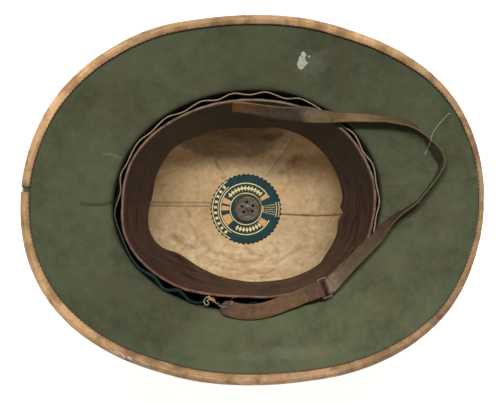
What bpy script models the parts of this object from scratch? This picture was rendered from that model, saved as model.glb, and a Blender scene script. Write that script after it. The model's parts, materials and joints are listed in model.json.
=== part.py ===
"""Pith helmet lying upside down on its ventilator cap, with the hollow of the head facing up.

The origin is the middle of the cap's flat face. +X runs to the back of the brim, +Y to the
wearer's side that lies at the top when one looks into the hollow, and +Z out of the hollow.
"""
import math
from typing import NamedTuple

import bmesh
import bpy
import numpy as np
from mathutils import Vector

MM = 0.001

# Clearance between neighbouring pieces, and facets round the hat
GAP = 0.3 * MM
FACETS = 48

# Head opening of the shell and the crown behind it
OPENING_HALF_LENGTH = 107.0 * MM
OPENING_HALF_WIDTH = 88.0 * MM
OPENING_SHIFT = -1.5 * MM
CROWN_DEPTH = 117.0 * MM
CROWN_WALL = 5.0 * MM

# Brim, measured on the inner face of the shell
BRIM_HALF_LENGTH = 174.0 * MM
BRIM_HALF_WIDTH = 139.4 * MM
BRIM_SQUARENESS = 2.19
BRIM_SHIFT = 0.9 * MM
BRIM_RISE_FRONT = 33.0 * MM
BRIM_RISE_BACK = 37.0 * MM
BRIM_RISE_SIDE = 25.0 * MM
BRIM_EDGE_WALL = 3.0 * MM
BRIM_BOWL = 0.12
BREAK_RADIUS = 5.0 * MM
BREAK_TURN = math.radians(62)

# Cloth linings and the leather binding
LINING_WALL = 1.0 * MM
LINING_TUCK = 14.0 * MM
BINDING_WALL = 1.2 * MM
BINDING_COVER = 7.0 * MM
BINDING_JOINT_DEG = 176.5
BINDING_JOINT_GAP = 0.8 * MM

# Sweatband: its depth, the air gap between its rim and the opening, and how far its deep
# edge leans in from the rim, each of them at the ends and at the sides of the opening
SWEATBAND_WALL = 1.5 * MM
SWEATBAND_DEPTH = 42.0 * MM
RIM_GAP_END = 5.5 * MM
RIM_GAP_SIDE = 11.0 * MM
RIM_ABOVE_BREAK = 1.5 * MM
BAND_LEAN_END = 20.5 * MM
BAND_LEAN_SIDE = 15.5 * MM

# Folded strip between the sweatband and the shell
SPACER_WALL = 1.0 * MM
SPACER_WIDTH = 12.0 * MM
SPACER_BELOW_RIM = 0.8 * MM
SPACER_SLANT = 1.35
SPACER_STATIONS = 120

# Label and ventilator
LABEL_RADIUS = 30.5 * MM
LABEL_WALL = 1.0 * MM
LABEL_TEETH = 46
LABEL_TOOTH_DEPTH = 1.4 * MM
LABEL_SHIFT_X = -1.3 * MM
LABEL_SHIFT_Y = -0.8 * MM
LABEL_MARGIN = 3.0 * MM
VENT_BORE_RADIUS = 7.0 * MM
VENT_DISC_RADIUS = 12.0 * MM
VENT_DISC_WALL = 1.2 * MM
VENT_RIM_WIDTH = 1.2 * MM
VENT_RIM_HEIGHT = 0.6 * MM
VENT_HOLE_RADIUS = 1.05 * MM
VENT_HOLE_CIRCLE = 5.0 * MM
VENT_HOLE_ANGLES = (22.0, 96.0, 165.0, 227.0, 325.0)
VENT_CAP_FOOT_RADIUS = 22.0 * MM
VENT_CAP_RADIUS = 26.0 * MM
VENT_CAP_HEIGHT = 8.0 * MM
VENT_CAP_SPIGOT = 3.5 * MM

# Chin strap, its buckle and the folded chape that holds the buckle
STRAP_WIDTH = 12.2 * MM
STRAP_WALL = 1.6 * MM
STRAP_STEP = 6.0 * MM
STRAP_BURIED_DEPTH = 7.0 * MM
STRAP_TAIL = 13.0 * MM
BUCKLE_WIRE = 1.6 * MM
BUCKLE_LENGTH = 9.5 * MM
BUCKLE_TILT = math.radians(20)
BUCKLE_ABOVE_RIM = 5.6 * MM
BUCKLE_APPROACH = 5.0 * MM
BUCKLE_DEG = 306.2
BUCKLE_OUT = -0.118
BUCKLE_HEADING = math.radians(20)
CHAPE_WALL = 1.3 * MM
CHAPE_LENGTH = 10.5 * MM
CHAPE_DROP = math.radians(10)
CHAPE_LEAD = 3.0 * MM
HOOK_WIDTH = 2.4 * MM
HOOK_WALL = 1.4 * MM
HOOK_STEP = 2.0 * MM


class Around(NamedTuple):
    """A share of a named radius at an angle round the hat."""
    degrees: float
    share: float


class Level(NamedTuple):
    """A level of the crown: shares of its depth and of the opening's two half sizes."""
    height: float
    length: float
    width: float


class BrimLine(NamedTuple):
    """A line round the brim: its share of the way out, and of the taper of the wall."""
    out: float
    taper: float


class BandRow(NamedTuple):
    """A strap point inside the sweatband: stand-off from its face in strap walls."""
    degrees: float
    stand_off: float


class StrapRow(NamedTuple):
    """A strap point over the brim: share of the way out, lift in strap widths and roll."""
    degrees: float
    out: float
    lift: float
    roll: float


BRIM_OUTLINE = (
    Around(0, 0.997), Around(22, 1.006), Around(36, 1.004), Around(56, 0.995),
    Around(75, 1.004), Around(90, 1.010), Around(113, 1.004), Around(135, 0.989),
    Around(158, 0.988), Around(170, 0.992), Around(181, 1.000), Around(203, 1.008),
    Around(226, 1.006), Around(246, 0.994), Around(284, 0.993), Around(302, 1.004),
    Around(324, 1.007), Around(348, 0.995),
)

OPENING_OUTLINE = (
    Around(0, 0.99), Around(28, 1.01), Around(60, 1.025), Around(75, 1.03), Around(90, 1.015),
    Around(120, 1.0), Around(165, 1.003), Around(195, 1.02), Around(230, 1.02),
    Around(260, 1.0), Around(300, 1.0), Around(340, 0.985),
)

RIM_OUTLINE = (
    Around(0, 0.964), Around(15, 0.975), Around(30, 0.992), Around(45, 1.024), Around(70, 1.04),
    Around(100, 1.034), Around(120, 1.022), Around(150, 1.008), Around(180, 0.985),
    Around(200, 1.024), Around(220, 1.035), Around(240, 1.021), Around(250, 0.991),
    Around(267, 0.960), Around(280, 0.977), Around(310, 0.987), Around(335, 0.982),
    Around(350, 0.963),
)

DEEP_EDGE_FOLDS = (
    Around(2, 0.93), Around(22, 0.95), Around(46, 1.015), Around(60, 1.045), Around(74, 1.045),
    Around(86, 1.005), Around(99, 1.02), Around(118, 1.037), Around(135, 1.053),
    Around(146, 1.026), Around(155, 1.007), Around(173, 0.976), Around(188, 1.019),
    Around(201, 1.057), Around(213, 1.04), Around(223, 0.955), Around(240, 0.97),
    Around(257, 1.0), Around(276, 1.024), Around(294, 1.05), Around(311, 1.052),
    Around(321, 1.002), Around(336, 0.958), Around(351, 0.91),
)

# Reach of the strip across the space: 0 touches the sweatband, 1 touches the shell's lining
SPACER_FOLDS = (
    Around(0, 0.7), Around(10, 0.0), Around(20, 0.65), Around(30, 0.0), Around(39, 0.75),
    Around(48, 0.1), Around(67, 0.95), Around(75, 0.35), Around(83, 0.9), Around(90, 0.45),
    Around(97, 0.85), Around(104, 0.2), Around(111, 0.7), Around(120, 0.1), Around(128, 0.7),
    Around(138, 0.2), Around(146, 0.7), Around(158, 0.2), Around(165, 0.6), Around(174, 0.0),
    Around(187, 0.8), Around(200, 0.3), Around(216, 0.9), Around(225, 0.15), Around(232, 1.0),
    Around(238, 0.1), Around(245, 1.0), Around(254, 0.4), Around(263, 1.0), Around(272, 0.3),
    Around(281, 1.0), Around(291, 0.2), Around(301, 0.9), Around(311, 0.1), Around(321, 0.8),
    Around(331, 0.0), Around(341, 0.7), Around(351, 0.1),
)

CROWN_LEVELS = (
    Level(0.035, 0.46, 0.51), Level(0.12, 0.63, 0.66), Level(0.25, 0.77, 0.785),
    Level(0.42, 0.88, 0.885), Level(0.62, 0.95, 0.95), Level(0.82, 0.99, 0.99),
)

BRIM_LINES = (
    BrimLine(0.14, 0.25), BrimLine(0.36, 0.6), BrimLine(0.60, 1.0), BrimLine(0.82, 1.0),
    BrimLine(1.0, 1.0),
)

LONG_STRAP_START = (
    BandRow(98, 0.3), BandRow(91, 0.5), BandRow(84, 1.4), BandRow(76, 2.6), BandRow(69, 2.2),
)

LONG_STRAP_ROUTE = (
    StrapRow(61.6, -0.285, 0.20, 12), StrapRow(54.9, -0.207, 0.38, -25),
    StrapRow(48.7, -0.082, 0.46, -50), StrapRow(43.8, 0.051, 0.70, -56),
    StrapRow(39.5, 0.176, 0.72, -60), StrapRow(35.7, 0.301, 0.72, -65),
    StrapRow(31.9, 0.419, 0.72, -70), StrapRow(28.3, 0.511, 0.72, -76),
    StrapRow(23.8, 0.551, 0.71, -84), StrapRow(19.7, 0.585, 0.70, -90),
    StrapRow(16.0, 0.620, 0.70, -90), StrapRow(12.9, 0.628, 0.70, -90),
    StrapRow(9.8, 0.578, 0.72, -90), StrapRow(6.0, 0.483, 0.74, -90),
    StrapRow(2.6, 0.395, 0.74, -90), StrapRow(-0.9, 0.300, 0.74, -92),
    StrapRow(-4.4, 0.180, 0.70, -98), StrapRow(-8.5, 0.082, 0.68, -110),
    StrapRow(-13.2, 0.015, 0.58, -124), StrapRow(-20.1, -0.040, 0.46, -140),
    StrapRow(-28.0, -0.095, 0.42, -145), StrapRow(-36.0, -0.120, 0.42, -146),
    StrapRow(-43.5, -0.132, 0.46, -152),
)

SHORT_STRAP_ROUTE = (
    StrapRow(257.5, -0.130, 0.19, 0), StrapRow(262.0, -0.112, 0.19, 0),
    StrapRow(267.0, -0.090, 0.19, 0), StrapRow(273.0, -0.085, 0.20, 0),
    StrapRow(280.3, -0.115, 0.21, 0), StrapRow(287.5, -0.150, 0.23, 0),
    StrapRow(293.0, -0.155, 0.26, 0),
)

HOOK_ROUTE = (
    StrapRow(250.6, -0.255, 0.09, 0), StrapRow(252.6, -0.215, 0.09, 0),
    StrapRow(254.6, -0.185, 0.10, 0), StrapRow(256.8, -0.150, 0.12, 0),
)

CAP_FLOOR_TO_SHELL = VENT_CAP_HEIGHT + GAP
CROWN_FLAT_RADIUS = LABEL_RADIUS + LABEL_MARGIN
CROWN_Z = CAP_FLOOR_TO_SHELL + CROWN_WALL
BREAK_Z = CROWN_Z + CROWN_DEPTH
LINING_FACE = GAP + LINING_WALL
RIM_Z = BREAK_Z + RIM_ABOVE_BREAK
RIM_HALF_LENGTH = OPENING_HALF_LENGTH - RIM_GAP_END
RIM_HALF_WIDTH = OPENING_HALF_WIDTH - RIM_GAP_SIDE
DEEP_HALF_LENGTH = RIM_HALF_LENGTH - BAND_LEAN_END
DEEP_HALF_WIDTH = RIM_HALF_WIDTH - BAND_LEAN_SIDE


def share_at(table, degrees):
    """Read a table of shares at an angle, with a smooth curve through its rows."""
    count = len(table)
    turn = degrees % 360.0
    index = 0
    while index + 1 < count and table[index + 1].degrees <= turn:
        index += 1
    if turn < table[0].degrees:
        index = -1

    def knot(i):
        laps, row = divmod(i, count)
        return table[row].degrees + 360.0 * laps, table[row].share

    before, start, end, after = (knot(index + k) for k in (-1, 0, 1, 2))
    span = end[0] - start[0]
    rise_in = (end[1] - before[1]) / (end[0] - before[0]) * span
    rise_out = (after[1] - start[1]) / (after[0] - start[0]) * span
    t = (turn - start[0]) / span
    return (start[1] * (2 * t ** 3 - 3 * t ** 2 + 1) + rise_in * (t ** 3 - 2 * t ** 2 + t)
            + end[1] * (3 * t ** 2 - 2 * t ** 3) + rise_out * (t ** 3 - t ** 2))


def turned_share(value, power):
    """A power that keeps the sign, for the squarer kind of oval."""
    return math.copysign(abs(value) ** power, value)


def opening_point(degrees, length=1.0, width=1.0):
    """Plan of the head opening, or of a level that has these shares of its half sizes."""
    angle = math.radians(degrees)
    share = share_at(OPENING_OUTLINE, degrees)
    fade = 1.0 + (share - 1.0) * max(0.0, (length - 0.6) / 0.4)
    x = OPENING_SHIFT * length + OPENING_HALF_LENGTH * length * fade * math.cos(angle)
    y = OPENING_HALF_WIDTH * width * fade * math.sin(angle)
    return Vector((x, y, 0.0))


def brim_point(degrees):
    """Plan of the brim's edge on the shell's inner face."""
    angle = math.radians(degrees)
    share = share_at(BRIM_OUTLINE, degrees)
    power = 2.0 / BRIM_SQUARENESS
    x = BRIM_SHIFT + BRIM_HALF_LENGTH * share * turned_share(math.cos(angle), power)
    y = BRIM_HALF_WIDTH * share * turned_share(math.sin(angle), power)
    return Vector((x, y, 0.0))


def brim_rise(degrees):
    """Height of the brim's edge over the break at this angle."""
    along = math.cos(math.radians(degrees))
    end = BRIM_RISE_BACK if along > 0 else BRIM_RISE_FRONT
    return BRIM_RISE_SIDE + (end - BRIM_RISE_SIDE) * along * along


def break_point(degrees, turn):
    """A point of the rounded break, turned from the crown's wall towards the brim."""
    start = opening_point(degrees)
    out = (brim_point(degrees) - start).normalized()
    point = start + out * BREAK_RADIUS * (1.0 - math.cos(turn))
    point.z = BREAK_Z - BREAK_RADIUS * (1.0 - math.sin(turn))
    return point


def over_brim(degrees, out):
    """A point of the brim's inner face, 0 at the break and 1 at the edge."""
    start = break_point(degrees, BREAK_TURN)
    end = brim_point(degrees)
    point = start.lerp(end, out)
    bowl = (1.0 - BRIM_BOWL) * out + BRIM_BOWL * out * out
    point.z = start.z + (BREAK_Z + brim_rise(degrees) - start.z) * bowl
    return point


def crown_point(degrees, level):
    """A point of the crown's inner face."""
    point = opening_point(degrees, level.length, level.width)
    point.z = CROWN_Z + level.height * (BREAK_Z - BREAK_RADIUS - CROWN_Z)
    return point


def tuck_point(degrees):
    """The line inside the opening where the brim's lining ends and the crown's begins."""
    point = opening_point(degrees)
    point.z = BREAK_Z - BREAK_RADIUS - LINING_TUCK
    return point


def flat_point(degrees, radius):
    """A point of the crown's flat middle."""
    angle = math.radians(degrees)
    return Vector((radius * math.cos(angle), radius * math.sin(angle), CROWN_Z))


def rim_point(degrees):
    """The sweatband's rim line."""
    angle = math.radians(degrees)
    share = share_at(RIM_OUTLINE, degrees)
    return Vector((RIM_HALF_LENGTH * share * math.cos(angle),
                   RIM_HALF_WIDTH * share * math.sin(angle), RIM_Z))


def over_band(degrees, depth):
    """A point of the sweatband's inner face, 0 at the rim and 1 at the deep edge."""
    angle = math.radians(degrees)
    share = share_at(DEEP_EDGE_FOLDS, degrees)
    deep = Vector((DEEP_HALF_LENGTH * share * math.cos(angle),
                   DEEP_HALF_WIDTH * share * math.sin(angle), RIM_Z - SWEATBAND_DEPTH))
    return rim_point(degrees).lerp(deep, depth)


def grid_angles():
    return [360.0 * k / FACETS for k in range(FACETS)]


def ring(point_of):
    """A closed ring of points round the hat."""
    return np.array([point_of(degrees) for degrees in grid_angles()])


def face_normals(rings):
    """Unit normals on a grid of rings, pointing into the hollow of the hat."""
    grid = np.array(rings)
    round_hat = np.roll(grid, -1, axis=1) - np.roll(grid, 1, axis=1)
    outwards = np.gradient(grid, axis=0)
    normals = np.cross(round_hat, outwards)
    normals /= np.linalg.norm(normals, axis=2, keepdims=True)
    return -normals


def between_facets(ring_points, degrees):
    """A point on the straight facet of a ring, so that neighbours share its flats."""
    place = (degrees % 360.0) / 360.0 * FACETS
    index = int(place)
    part = place - index
    return ring_points[index % FACETS] * (1.0 - part) + ring_points[(index + 1) % FACETS] * part


def new_object(name, mesh, material):
    mesh.materials.append(material)
    mesh.shade_smooth()
    mesh.set_sharp_from_angle(angle=math.radians(35))
    obj = bpy.data.objects.new(name, mesh)
    bpy.context.scene.collection.objects.link(obj)
    return obj


def solid(name, vertices, faces, material):
    """Make one closed object and turn its faces outwards."""
    mesh = bpy.data.meshes.new(name)
    mesh.from_pydata([tuple(v) for v in vertices], [], faces)
    work = bmesh.new()
    work.from_mesh(mesh)
    bmesh.ops.recalc_face_normals(work, faces=work.faces)
    if work.calc_volume(signed=True) < 0:
        bmesh.ops.reverse_faces(work, faces=work.faces)
    work.to_mesh(mesh)
    work.free()
    return new_object(name, mesh, material)


def loft(name, sections, material, closed):
    """Join equal sections into a tube, round in a ring or with a cap at each end."""
    count = len(sections)
    size = len(sections[0])
    vertices = [point for section in sections for point in section]
    faces = []
    for i in range(count if closed else count - 1):
        a = i * size
        b = (i + 1) % count * size
        for k in range(size):
            n = (k + 1) % size
            faces.append((a + k, a + n, b + n, b + k))
    if not closed:
        faces.append(tuple(range(size)))
        faces.append(tuple((count - 1) * size + k for k in range(size)))
    return solid(name, vertices, faces, material)


def layer(name, near, far, material):
    """A wall between two stacks of rings, closed at both of its edges."""
    loops = list(near) + list(reversed(far))
    sections = [[loop[k] for loop in loops] for k in range(FACETS)]
    return loft(name, sections, material, closed=True)


def finish(name, colour, roughness, metallic=0.0):
    """A plain finish for one part."""
    material = bpy.data.materials.new(name)
    material.use_nodes = True
    shader = material.node_tree.nodes["Principled BSDF"]
    shader.inputs["Base Color"].default_value = (*colour, 1.0)
    shader.inputs["Roughness"].default_value = roughness
    shader.inputs["Metallic"].default_value = metallic
    material.diffuse_color = (*colour, 1.0)
    return material


class HatFaces(NamedTuple):
    """Rings and normals of the shell's inner face, from the bore out to the edge."""
    rings: np.ndarray
    normals: np.ndarray
    first_break: int
    first_brim: int


def hat_faces():
    rings = [
        ring(lambda d: flat_point(d, VENT_BORE_RADIUS)),
        ring(lambda d: flat_point(d, CROWN_FLAT_RADIUS)),
    ]
    rings += [ring(lambda d, level=level: crown_point(d, level)) for level in CROWN_LEVELS]
    rings.append(ring(tuck_point))
    first_break = len(rings)
    turns = (0.0, BREAK_TURN * 0.5, BREAK_TURN)
    rings += [ring(lambda d, turn=turn: break_point(d, turn)) for turn in turns]
    first_brim = len(rings)
    rings += [ring(lambda d, line=line: over_brim(d, line.out)) for line in BRIM_LINES]
    normals = face_normals(rings)
    normals[:2] = (0.0, 0.0, 1.0)
    normals[-1] = normals[-2]
    return HatFaces(np.array(rings), normals, first_break, first_brim)


def offset(faces, index, distance):
    return faces.rings[index] + faces.normals[index] * distance


def build_shell(faces):
    """Crown and brim: the inner face, and the outer face with one mitred ring at the break."""
    inner = list(faces.rings)
    outer = [offset(faces, k, -CROWN_WALL) for k in range(faces.first_break)]
    mitre = CROWN_WALL / math.cos(BREAK_TURN * 0.5)
    outer.append(offset(faces, faces.first_break + 1, -mitre))
    for k, line in enumerate(BRIM_LINES):
        wall = CROWN_WALL + (BRIM_EDGE_WALL - CROWN_WALL) * line.taper
        outer.append(offset(faces, faces.first_brim + k, -wall))
    return layer("shell", inner, outer, finish("khaki_cloth", (0.48, 0.42, 0.28), 0.9))


def build_linings(faces):
    """Green cloth over the brim and into the opening, cream lining inside the crown."""
    brim_rows = range(faces.first_break - 1, len(faces.rings))
    build_layer(faces, "brim_lining", brim_rows, finish("green_cloth", (0.10, 0.12, 0.06), 0.9))
    crown_rows = range(0, faces.first_break - 1)
    build_layer(faces, "crown_lining", crown_rows, finish("cream_lining", (0.55, 0.42, 0.25), 0.8))


def build_layer(faces, name, rows, material):
    near = [offset(faces, k, GAP) for k in rows]
    far = [offset(faces, k, LINING_FACE) for k in rows]
    return layer(name, near, far, material)


def build_binding(faces):
    """Leather folded over the brim's edge, open where its two ends meet."""
    edge = faces.rings[-1]
    inward = faces.rings[-2] - edge
    inward /= np.linalg.norm(inward, axis=1, keepdims=True)
    normal = faces.normals[-1]
    top = LINING_FACE + GAP
    under = -BRIM_EDGE_WALL - GAP
    outside = GAP + BINDING_WALL
    profile = (
        (BINDING_COVER, top), (BINDING_COVER, top + BINDING_WALL),
        (-GAP, top + BINDING_WALL), (-outside, top),
        (-outside, under), (-GAP, under - BINDING_WALL),
        (BINDING_COVER, under - BINDING_WALL), (BINDING_COVER, under),
        (-GAP, under), (-GAP, top),
    )
    loops = [edge + inward * across + normal * up for across, up in profile]
    half_gap = math.degrees(BINDING_JOINT_GAP * 0.5 / BRIM_HALF_LENGTH)
    start = BINDING_JOINT_DEG + half_gap
    stop = BINDING_JOINT_DEG + 360.0 - half_gap
    whole = [360.0 * k / FACETS for k in range(2 * FACETS)]
    stations = [start] + [d for d in whole if start < d < stop] + [stop]
    sections = [[between_facets(loop, d) for loop in loops] for d in stations]
    leather = finish("binding_leather", (0.40, 0.24, 0.12), 0.6)
    return loft("edge_binding", sections, leather, closed=False)


def band_rings():
    depths = (0.0, 0.3, 0.65, 1.0)
    return [ring(lambda d, depth=depth: over_band(d, depth)) for depth in depths]


def build_sweatband(inner):
    """Leather band whose deep edge stands off the crown in slow folds."""
    normals = face_normals(list(reversed(inner)))[::-1]
    outer = [points - normal * SWEATBAND_WALL for points, normal in zip(inner, normals)]
    leather = finish("sweatband_leather", (0.06, 0.035, 0.025), 0.45)
    layer("sweatband", inner, outer, leather)
    return outer[0]


def build_spacer(faces, band_back):
    """A strip that winds between the sweatband and the lining of the shell.

    SPACER_SLANT makes room for the strip's thickness where a fold crosses at a slant.
    """
    half = SPACER_WALL * 0.5
    margin = half * SPACER_SLANT + GAP
    wall = faces.rings[faces.first_break] + faces.normals[faces.first_break - 1] * LINING_FACE
    stations = [360.0 * k / SPACER_STATIONS for k in range(SPACER_STATIONS)]
    middle = []
    for degrees in stations:
        near = between_facets(band_back, degrees)
        far = between_facets(wall, degrees)
        way = far - near
        way[2] = 0.0
        room = np.linalg.norm(way)
        unit = way / room
        reach = min(1.0, max(0.0, share_at(SPACER_FOLDS, degrees)))
        middle.append(near + unit * (margin + (room - 2.0 * margin) * reach))
    middle = np.array(middle)
    along = np.roll(middle, -1, axis=0) - np.roll(middle, 1, axis=0)
    across = np.stack([along[:, 1], -along[:, 0], np.zeros(len(along))], axis=1)
    across /= np.linalg.norm(across, axis=1, keepdims=True)
    top = RIM_Z - SPACER_BELOW_RIM
    sections = []
    for point, side in zip(middle, across):
        section = []
        for sign, height in ((1, top), (-1, top), (-1, top - SPACER_WIDTH), (1, top - SPACER_WIDTH)):
            corner = point + side * half * sign
            section.append((corner[0], corner[1], height))
        sections.append(section)
    cloth = finish("spacer_cloth", (0.22, 0.22, 0.15), 0.85)
    return loft("spacer_strip", sections, cloth, closed=True)


def circle(radius, height, count, shift=(0.0, 0.0)):
    angles = [math.tau * k / count for k in range(count)]
    return [(shift[0] + radius * math.cos(a), shift[1] + radius * math.sin(a), height)
            for a in angles]


def build_label():
    """Round label with a pinked edge and the ventilator's bore through it."""
    low = CROWN_Z + LINING_FACE + GAP
    high = low + LABEL_WALL
    count = 2 * LABEL_TEETH
    tips = []
    for k in range(count):
        radius = LABEL_RADIUS - (LABEL_TOOTH_DEPTH if k % 2 else 0.0)
        angle = math.tau * k / count
        tips.append((LABEL_SHIFT_X + radius * math.cos(angle),
                     LABEL_SHIFT_Y + radius * math.sin(angle)))
    bore = circle(VENT_BORE_RADIUS, low, count)
    sections = []
    for tip, hole in zip(tips, bore):
        sections.append(((*tip, low), (*tip, high), (hole[0], hole[1], high), hole))
    return loft("label", sections, finish("label_teal", (0.02, 0.06, 0.07), 0.6), closed=True)


def turned(name, profile, material, count=32):
    """A solid of revolution: the profile runs from axis to axis."""
    vertices = [(0.0, 0.0, profile[0][1])]
    for radius, height in profile[1:-1]:
        vertices += circle(radius, height, count)
    vertices.append((0.0, 0.0, profile[-1][1]))
    last = len(vertices) - 1
    rows = len(profile) - 2
    faces = []
    for k in range(count):
        n = (k + 1) % count
        faces.append((0, 1 + k, 1 + n))
        for row in range(rows - 1):
            a = 1 + row * count
            b = a + count
            faces.append((a + k, b + k, b + n, a + n))
        a = 1 + (rows - 1) * count
        faces.append((a + k, last, a + n))
    return solid(name, vertices, faces, material)


def build_vent_disc():
    """Pierced metal disc in the middle of the label."""
    low = CROWN_Z + LINING_FACE + LABEL_WALL + 2.0 * GAP
    high = low + VENT_DISC_WALL
    rim = high + VENT_RIM_HEIGHT
    inside = VENT_DISC_RADIUS - VENT_RIM_WIDTH
    profile = ((0.0, low), (VENT_DISC_RADIUS, low), (VENT_DISC_RADIUS, high), (inside, rim),
               (inside - VENT_RIM_HEIGHT, high), (0.0, high))
    metal = finish("pewter", (0.16, 0.13, 0.10), 0.45, 0.7)
    disc = turned("vent_disc", profile, metal)
    for index, degrees in enumerate(VENT_HOLE_ANGLES):
        angle = math.radians(degrees)
        place = (VENT_HOLE_CIRCLE * math.cos(angle), VENT_HOLE_CIRCLE * math.sin(angle), high)
        bpy.ops.mesh.primitive_cylinder_add(
            vertices=12, radius=VENT_HOLE_RADIUS, depth=4.0 * VENT_DISC_WALL, location=place)
        drill = bpy.context.object
        drill.name = f"vent_drill_{index}"
        drill.hide_render = True
        drill.display_type = "WIRE"
        cut = disc.modifiers.new(drill.name, "BOOLEAN")
        cut.operation = "DIFFERENCE"
        cut.object = drill
    return disc


def build_vent_cap():
    """The ventilator's cap, whose flat top the helmet lies on."""
    spigot = VENT_BORE_RADIUS - GAP
    profile = (
        (0.0, 0.0), (VENT_CAP_FOOT_RADIUS, 0.0), (VENT_CAP_RADIUS, 0.45 * VENT_CAP_HEIGHT),
        (VENT_CAP_RADIUS, 0.8 * VENT_CAP_HEIGHT), (VENT_CAP_RADIUS - 1.0 * MM, VENT_CAP_HEIGHT),
        (spigot, VENT_CAP_HEIGHT), (spigot, VENT_CAP_HEIGHT + VENT_CAP_SPIGOT),
        (0.0, VENT_CAP_HEIGHT + VENT_CAP_SPIGOT),
    )
    return turned("vent_cap", profile, finish("cap_cloth", (0.48, 0.42, 0.28), 0.9))


class Station(NamedTuple):
    """A place along a strap, the way its face looks and its share of the full width."""
    point: Vector
    normal: Vector
    width: float = 1.0


def strap_stations(rows):
    """Places and face directions of strap rows that lie over the brim or the opening."""
    points = []
    for row in rows:
        plan = over_brim(row.degrees, row.out)
        face = over_brim(row.degrees, max(row.out, 0.0)).z
        plan.z = max(face, RIM_Z) + row.lift * STRAP_WIDTH
        points.append(plan)
    stations = []
    for k, row in enumerate(rows):
        ahead = points[min(k + 1, len(rows) - 1)]
        behind = points[max(k - 1, 0)]
        stations.append(Station(points[k], rolled(ahead - behind, row.roll)))
    return stations


def rolled(tangent, roll):
    """The face direction of a flat strap, turned about its own run."""
    run = tangent.normalized()
    left = Vector((0, 0, 1)).cross(run).normalized()
    up = run.cross(left)
    angle = math.radians(roll)
    return up * math.cos(angle) - left * math.sin(angle)


def band_stations(rows):
    """Places of strap rows that lie against the sweatband's inner face."""
    depth = STRAP_BURIED_DEPTH / SWEATBAND_DEPTH
    stations = []
    for row in rows:
        point = over_band(row.degrees, depth)
        side = over_band(row.degrees + 1.0, depth) - over_band(row.degrees - 1.0, depth)
        down = over_band(row.degrees, depth + 0.1) - point
        normal = side.cross(down).normalized()
        if normal.dot(-point.xy.to_3d()) < 0:
            normal.negate()
        lift = GAP + STRAP_WALL * (0.5 + row.stand_off)
        stations.append(Station(point + normal * lift, normal))
    return stations


def smooth_stations(stations, step):
    """Even steps along a smooth curve through the stations."""
    points = [s.point for s in stations]
    normals = [s.normal for s in stations]
    last = len(points) - 1
    result = []
    for k in range(last):
        before, start = points[max(k - 1, 0)], points[k]
        end, after = points[k + 1], points[min(k + 2, last)]
        parts = max(1, round((end - start).length / step))
        for part in range(parts):
            t = part / parts
            point = 0.5 * (2 * start + (end - before) * t
                           + (2 * before - 5 * start + 4 * end - after) * t * t
                           + (3 * start - before - 3 * end + after) * t ** 3)
            normal = normals[k].lerp(normals[k + 1], t).normalized()
            result.append(Station(point, normal))
    result.append(stations[-1])
    return result


def round_start(stations, width):
    """Replace the first stations by a few that round the strap's end."""
    radius = width * 0.5
    first = stations[0]
    run = (stations[1].point - first.point).normalized()
    tip = []
    for share in (0.04, 0.2, 0.5, 1.0):
        reach = math.sqrt(1.0 - (1.0 - share) ** 2)
        tip.append(Station(first.point + run * radius * share, first.normal, reach))
    rest = [s for s in stations[1:] if (s.point - first.point).length > radius * 1.1]
    return tip + rest


def strap_solid(name, stations, width, wall, material):
    """A flat strap through its stations."""
    sections = []
    last = len(stations) - 1
    for k, station in enumerate(stations):
        run = stations[min(k + 1, last)].point - stations[max(k - 1, 0)].point
        across = station.normal.cross(run).normalized()
        normal = run.cross(across).normalized()
        half = across * width * 0.5 * station.width
        thick = normal * wall * 0.5
        point = station.point
        sections.append((point - half - thick, point + half - thick,
                         point + half + thick, point - half + thick))
    return loft(name, sections, material, closed=False)


class BucklePlace(NamedTuple):
    """Where the buckle lies: level and tilted run towards the long strap, and its two bars.

    away and over are the run of the chape, away from the buckle, and the way its face looks.
    """
    middle: Vector
    level: Vector
    run: Vector
    up: Vector
    across: Vector
    short_bar: Vector
    long_bar: Vector
    away: Vector
    over: Vector


def buckle_place():
    middle = over_brim(BUCKLE_DEG, BUCKLE_OUT)
    middle.z = RIM_Z + BUCKLE_ABOVE_RIM
    level = Vector((math.cos(BUCKLE_HEADING), math.sin(BUCKLE_HEADING), 0.0))
    vertical = Vector((0, 0, 1))
    run = level * math.cos(BUCKLE_TILT) - vertical * math.sin(BUCKLE_TILT)
    up = vertical * math.cos(BUCKLE_TILT) + level * math.sin(BUCKLE_TILT)
    across = up.cross(run)
    reach = (BUCKLE_LENGTH - BUCKLE_WIRE) * 0.5
    away = -level * math.cos(CHAPE_DROP) - vertical * math.sin(CHAPE_DROP)
    over = across.cross(away)
    return BucklePlace(middle, level, run, up, across, middle - run * reach,
                       middle + run * reach, away, over)


def build_buckle(place):
    """Frame of wire, bent to a rectangle and soldered at its joint."""
    half_run = (BUCKLE_LENGTH - BUCKLE_WIRE) * 0.5
    half_across = STRAP_WIDTH * 0.5 + 2.0 * GAP + BUCKLE_WIRE * 0.5
    radius = BUCKLE_WIRE * 0.5
    corner = radius * 0.9
    corners = ((1, 1), (-1, 1), (-1, -1), (1, -1))
    sections = []
    for sx, sy in corners:
        inner = Vector((sx * (half_run - corner), sy * (half_across - corner), 0.0))
        turn = math.atan2(sy, sx)
        for step in (-0.5, 0.5):
            angle = turn + step * math.pi * 0.5
            out = Vector((math.cos(angle), math.sin(angle), 0.0))
            centre = inner + out * corner
            section = []
            for k in range(6):
                around = math.tau * k / 6
                local = centre + out * radius * math.cos(around)
                height = radius * math.sin(around)
                section.append(place.middle + place.run * local.x + place.across * local.y
                               + place.up * height)
            sections.append(section)
    metal = finish("buckle_metal", (0.20, 0.17, 0.14), 0.5, 0.8)
    return loft("buckle_frame", sections, metal, closed=True)


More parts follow.
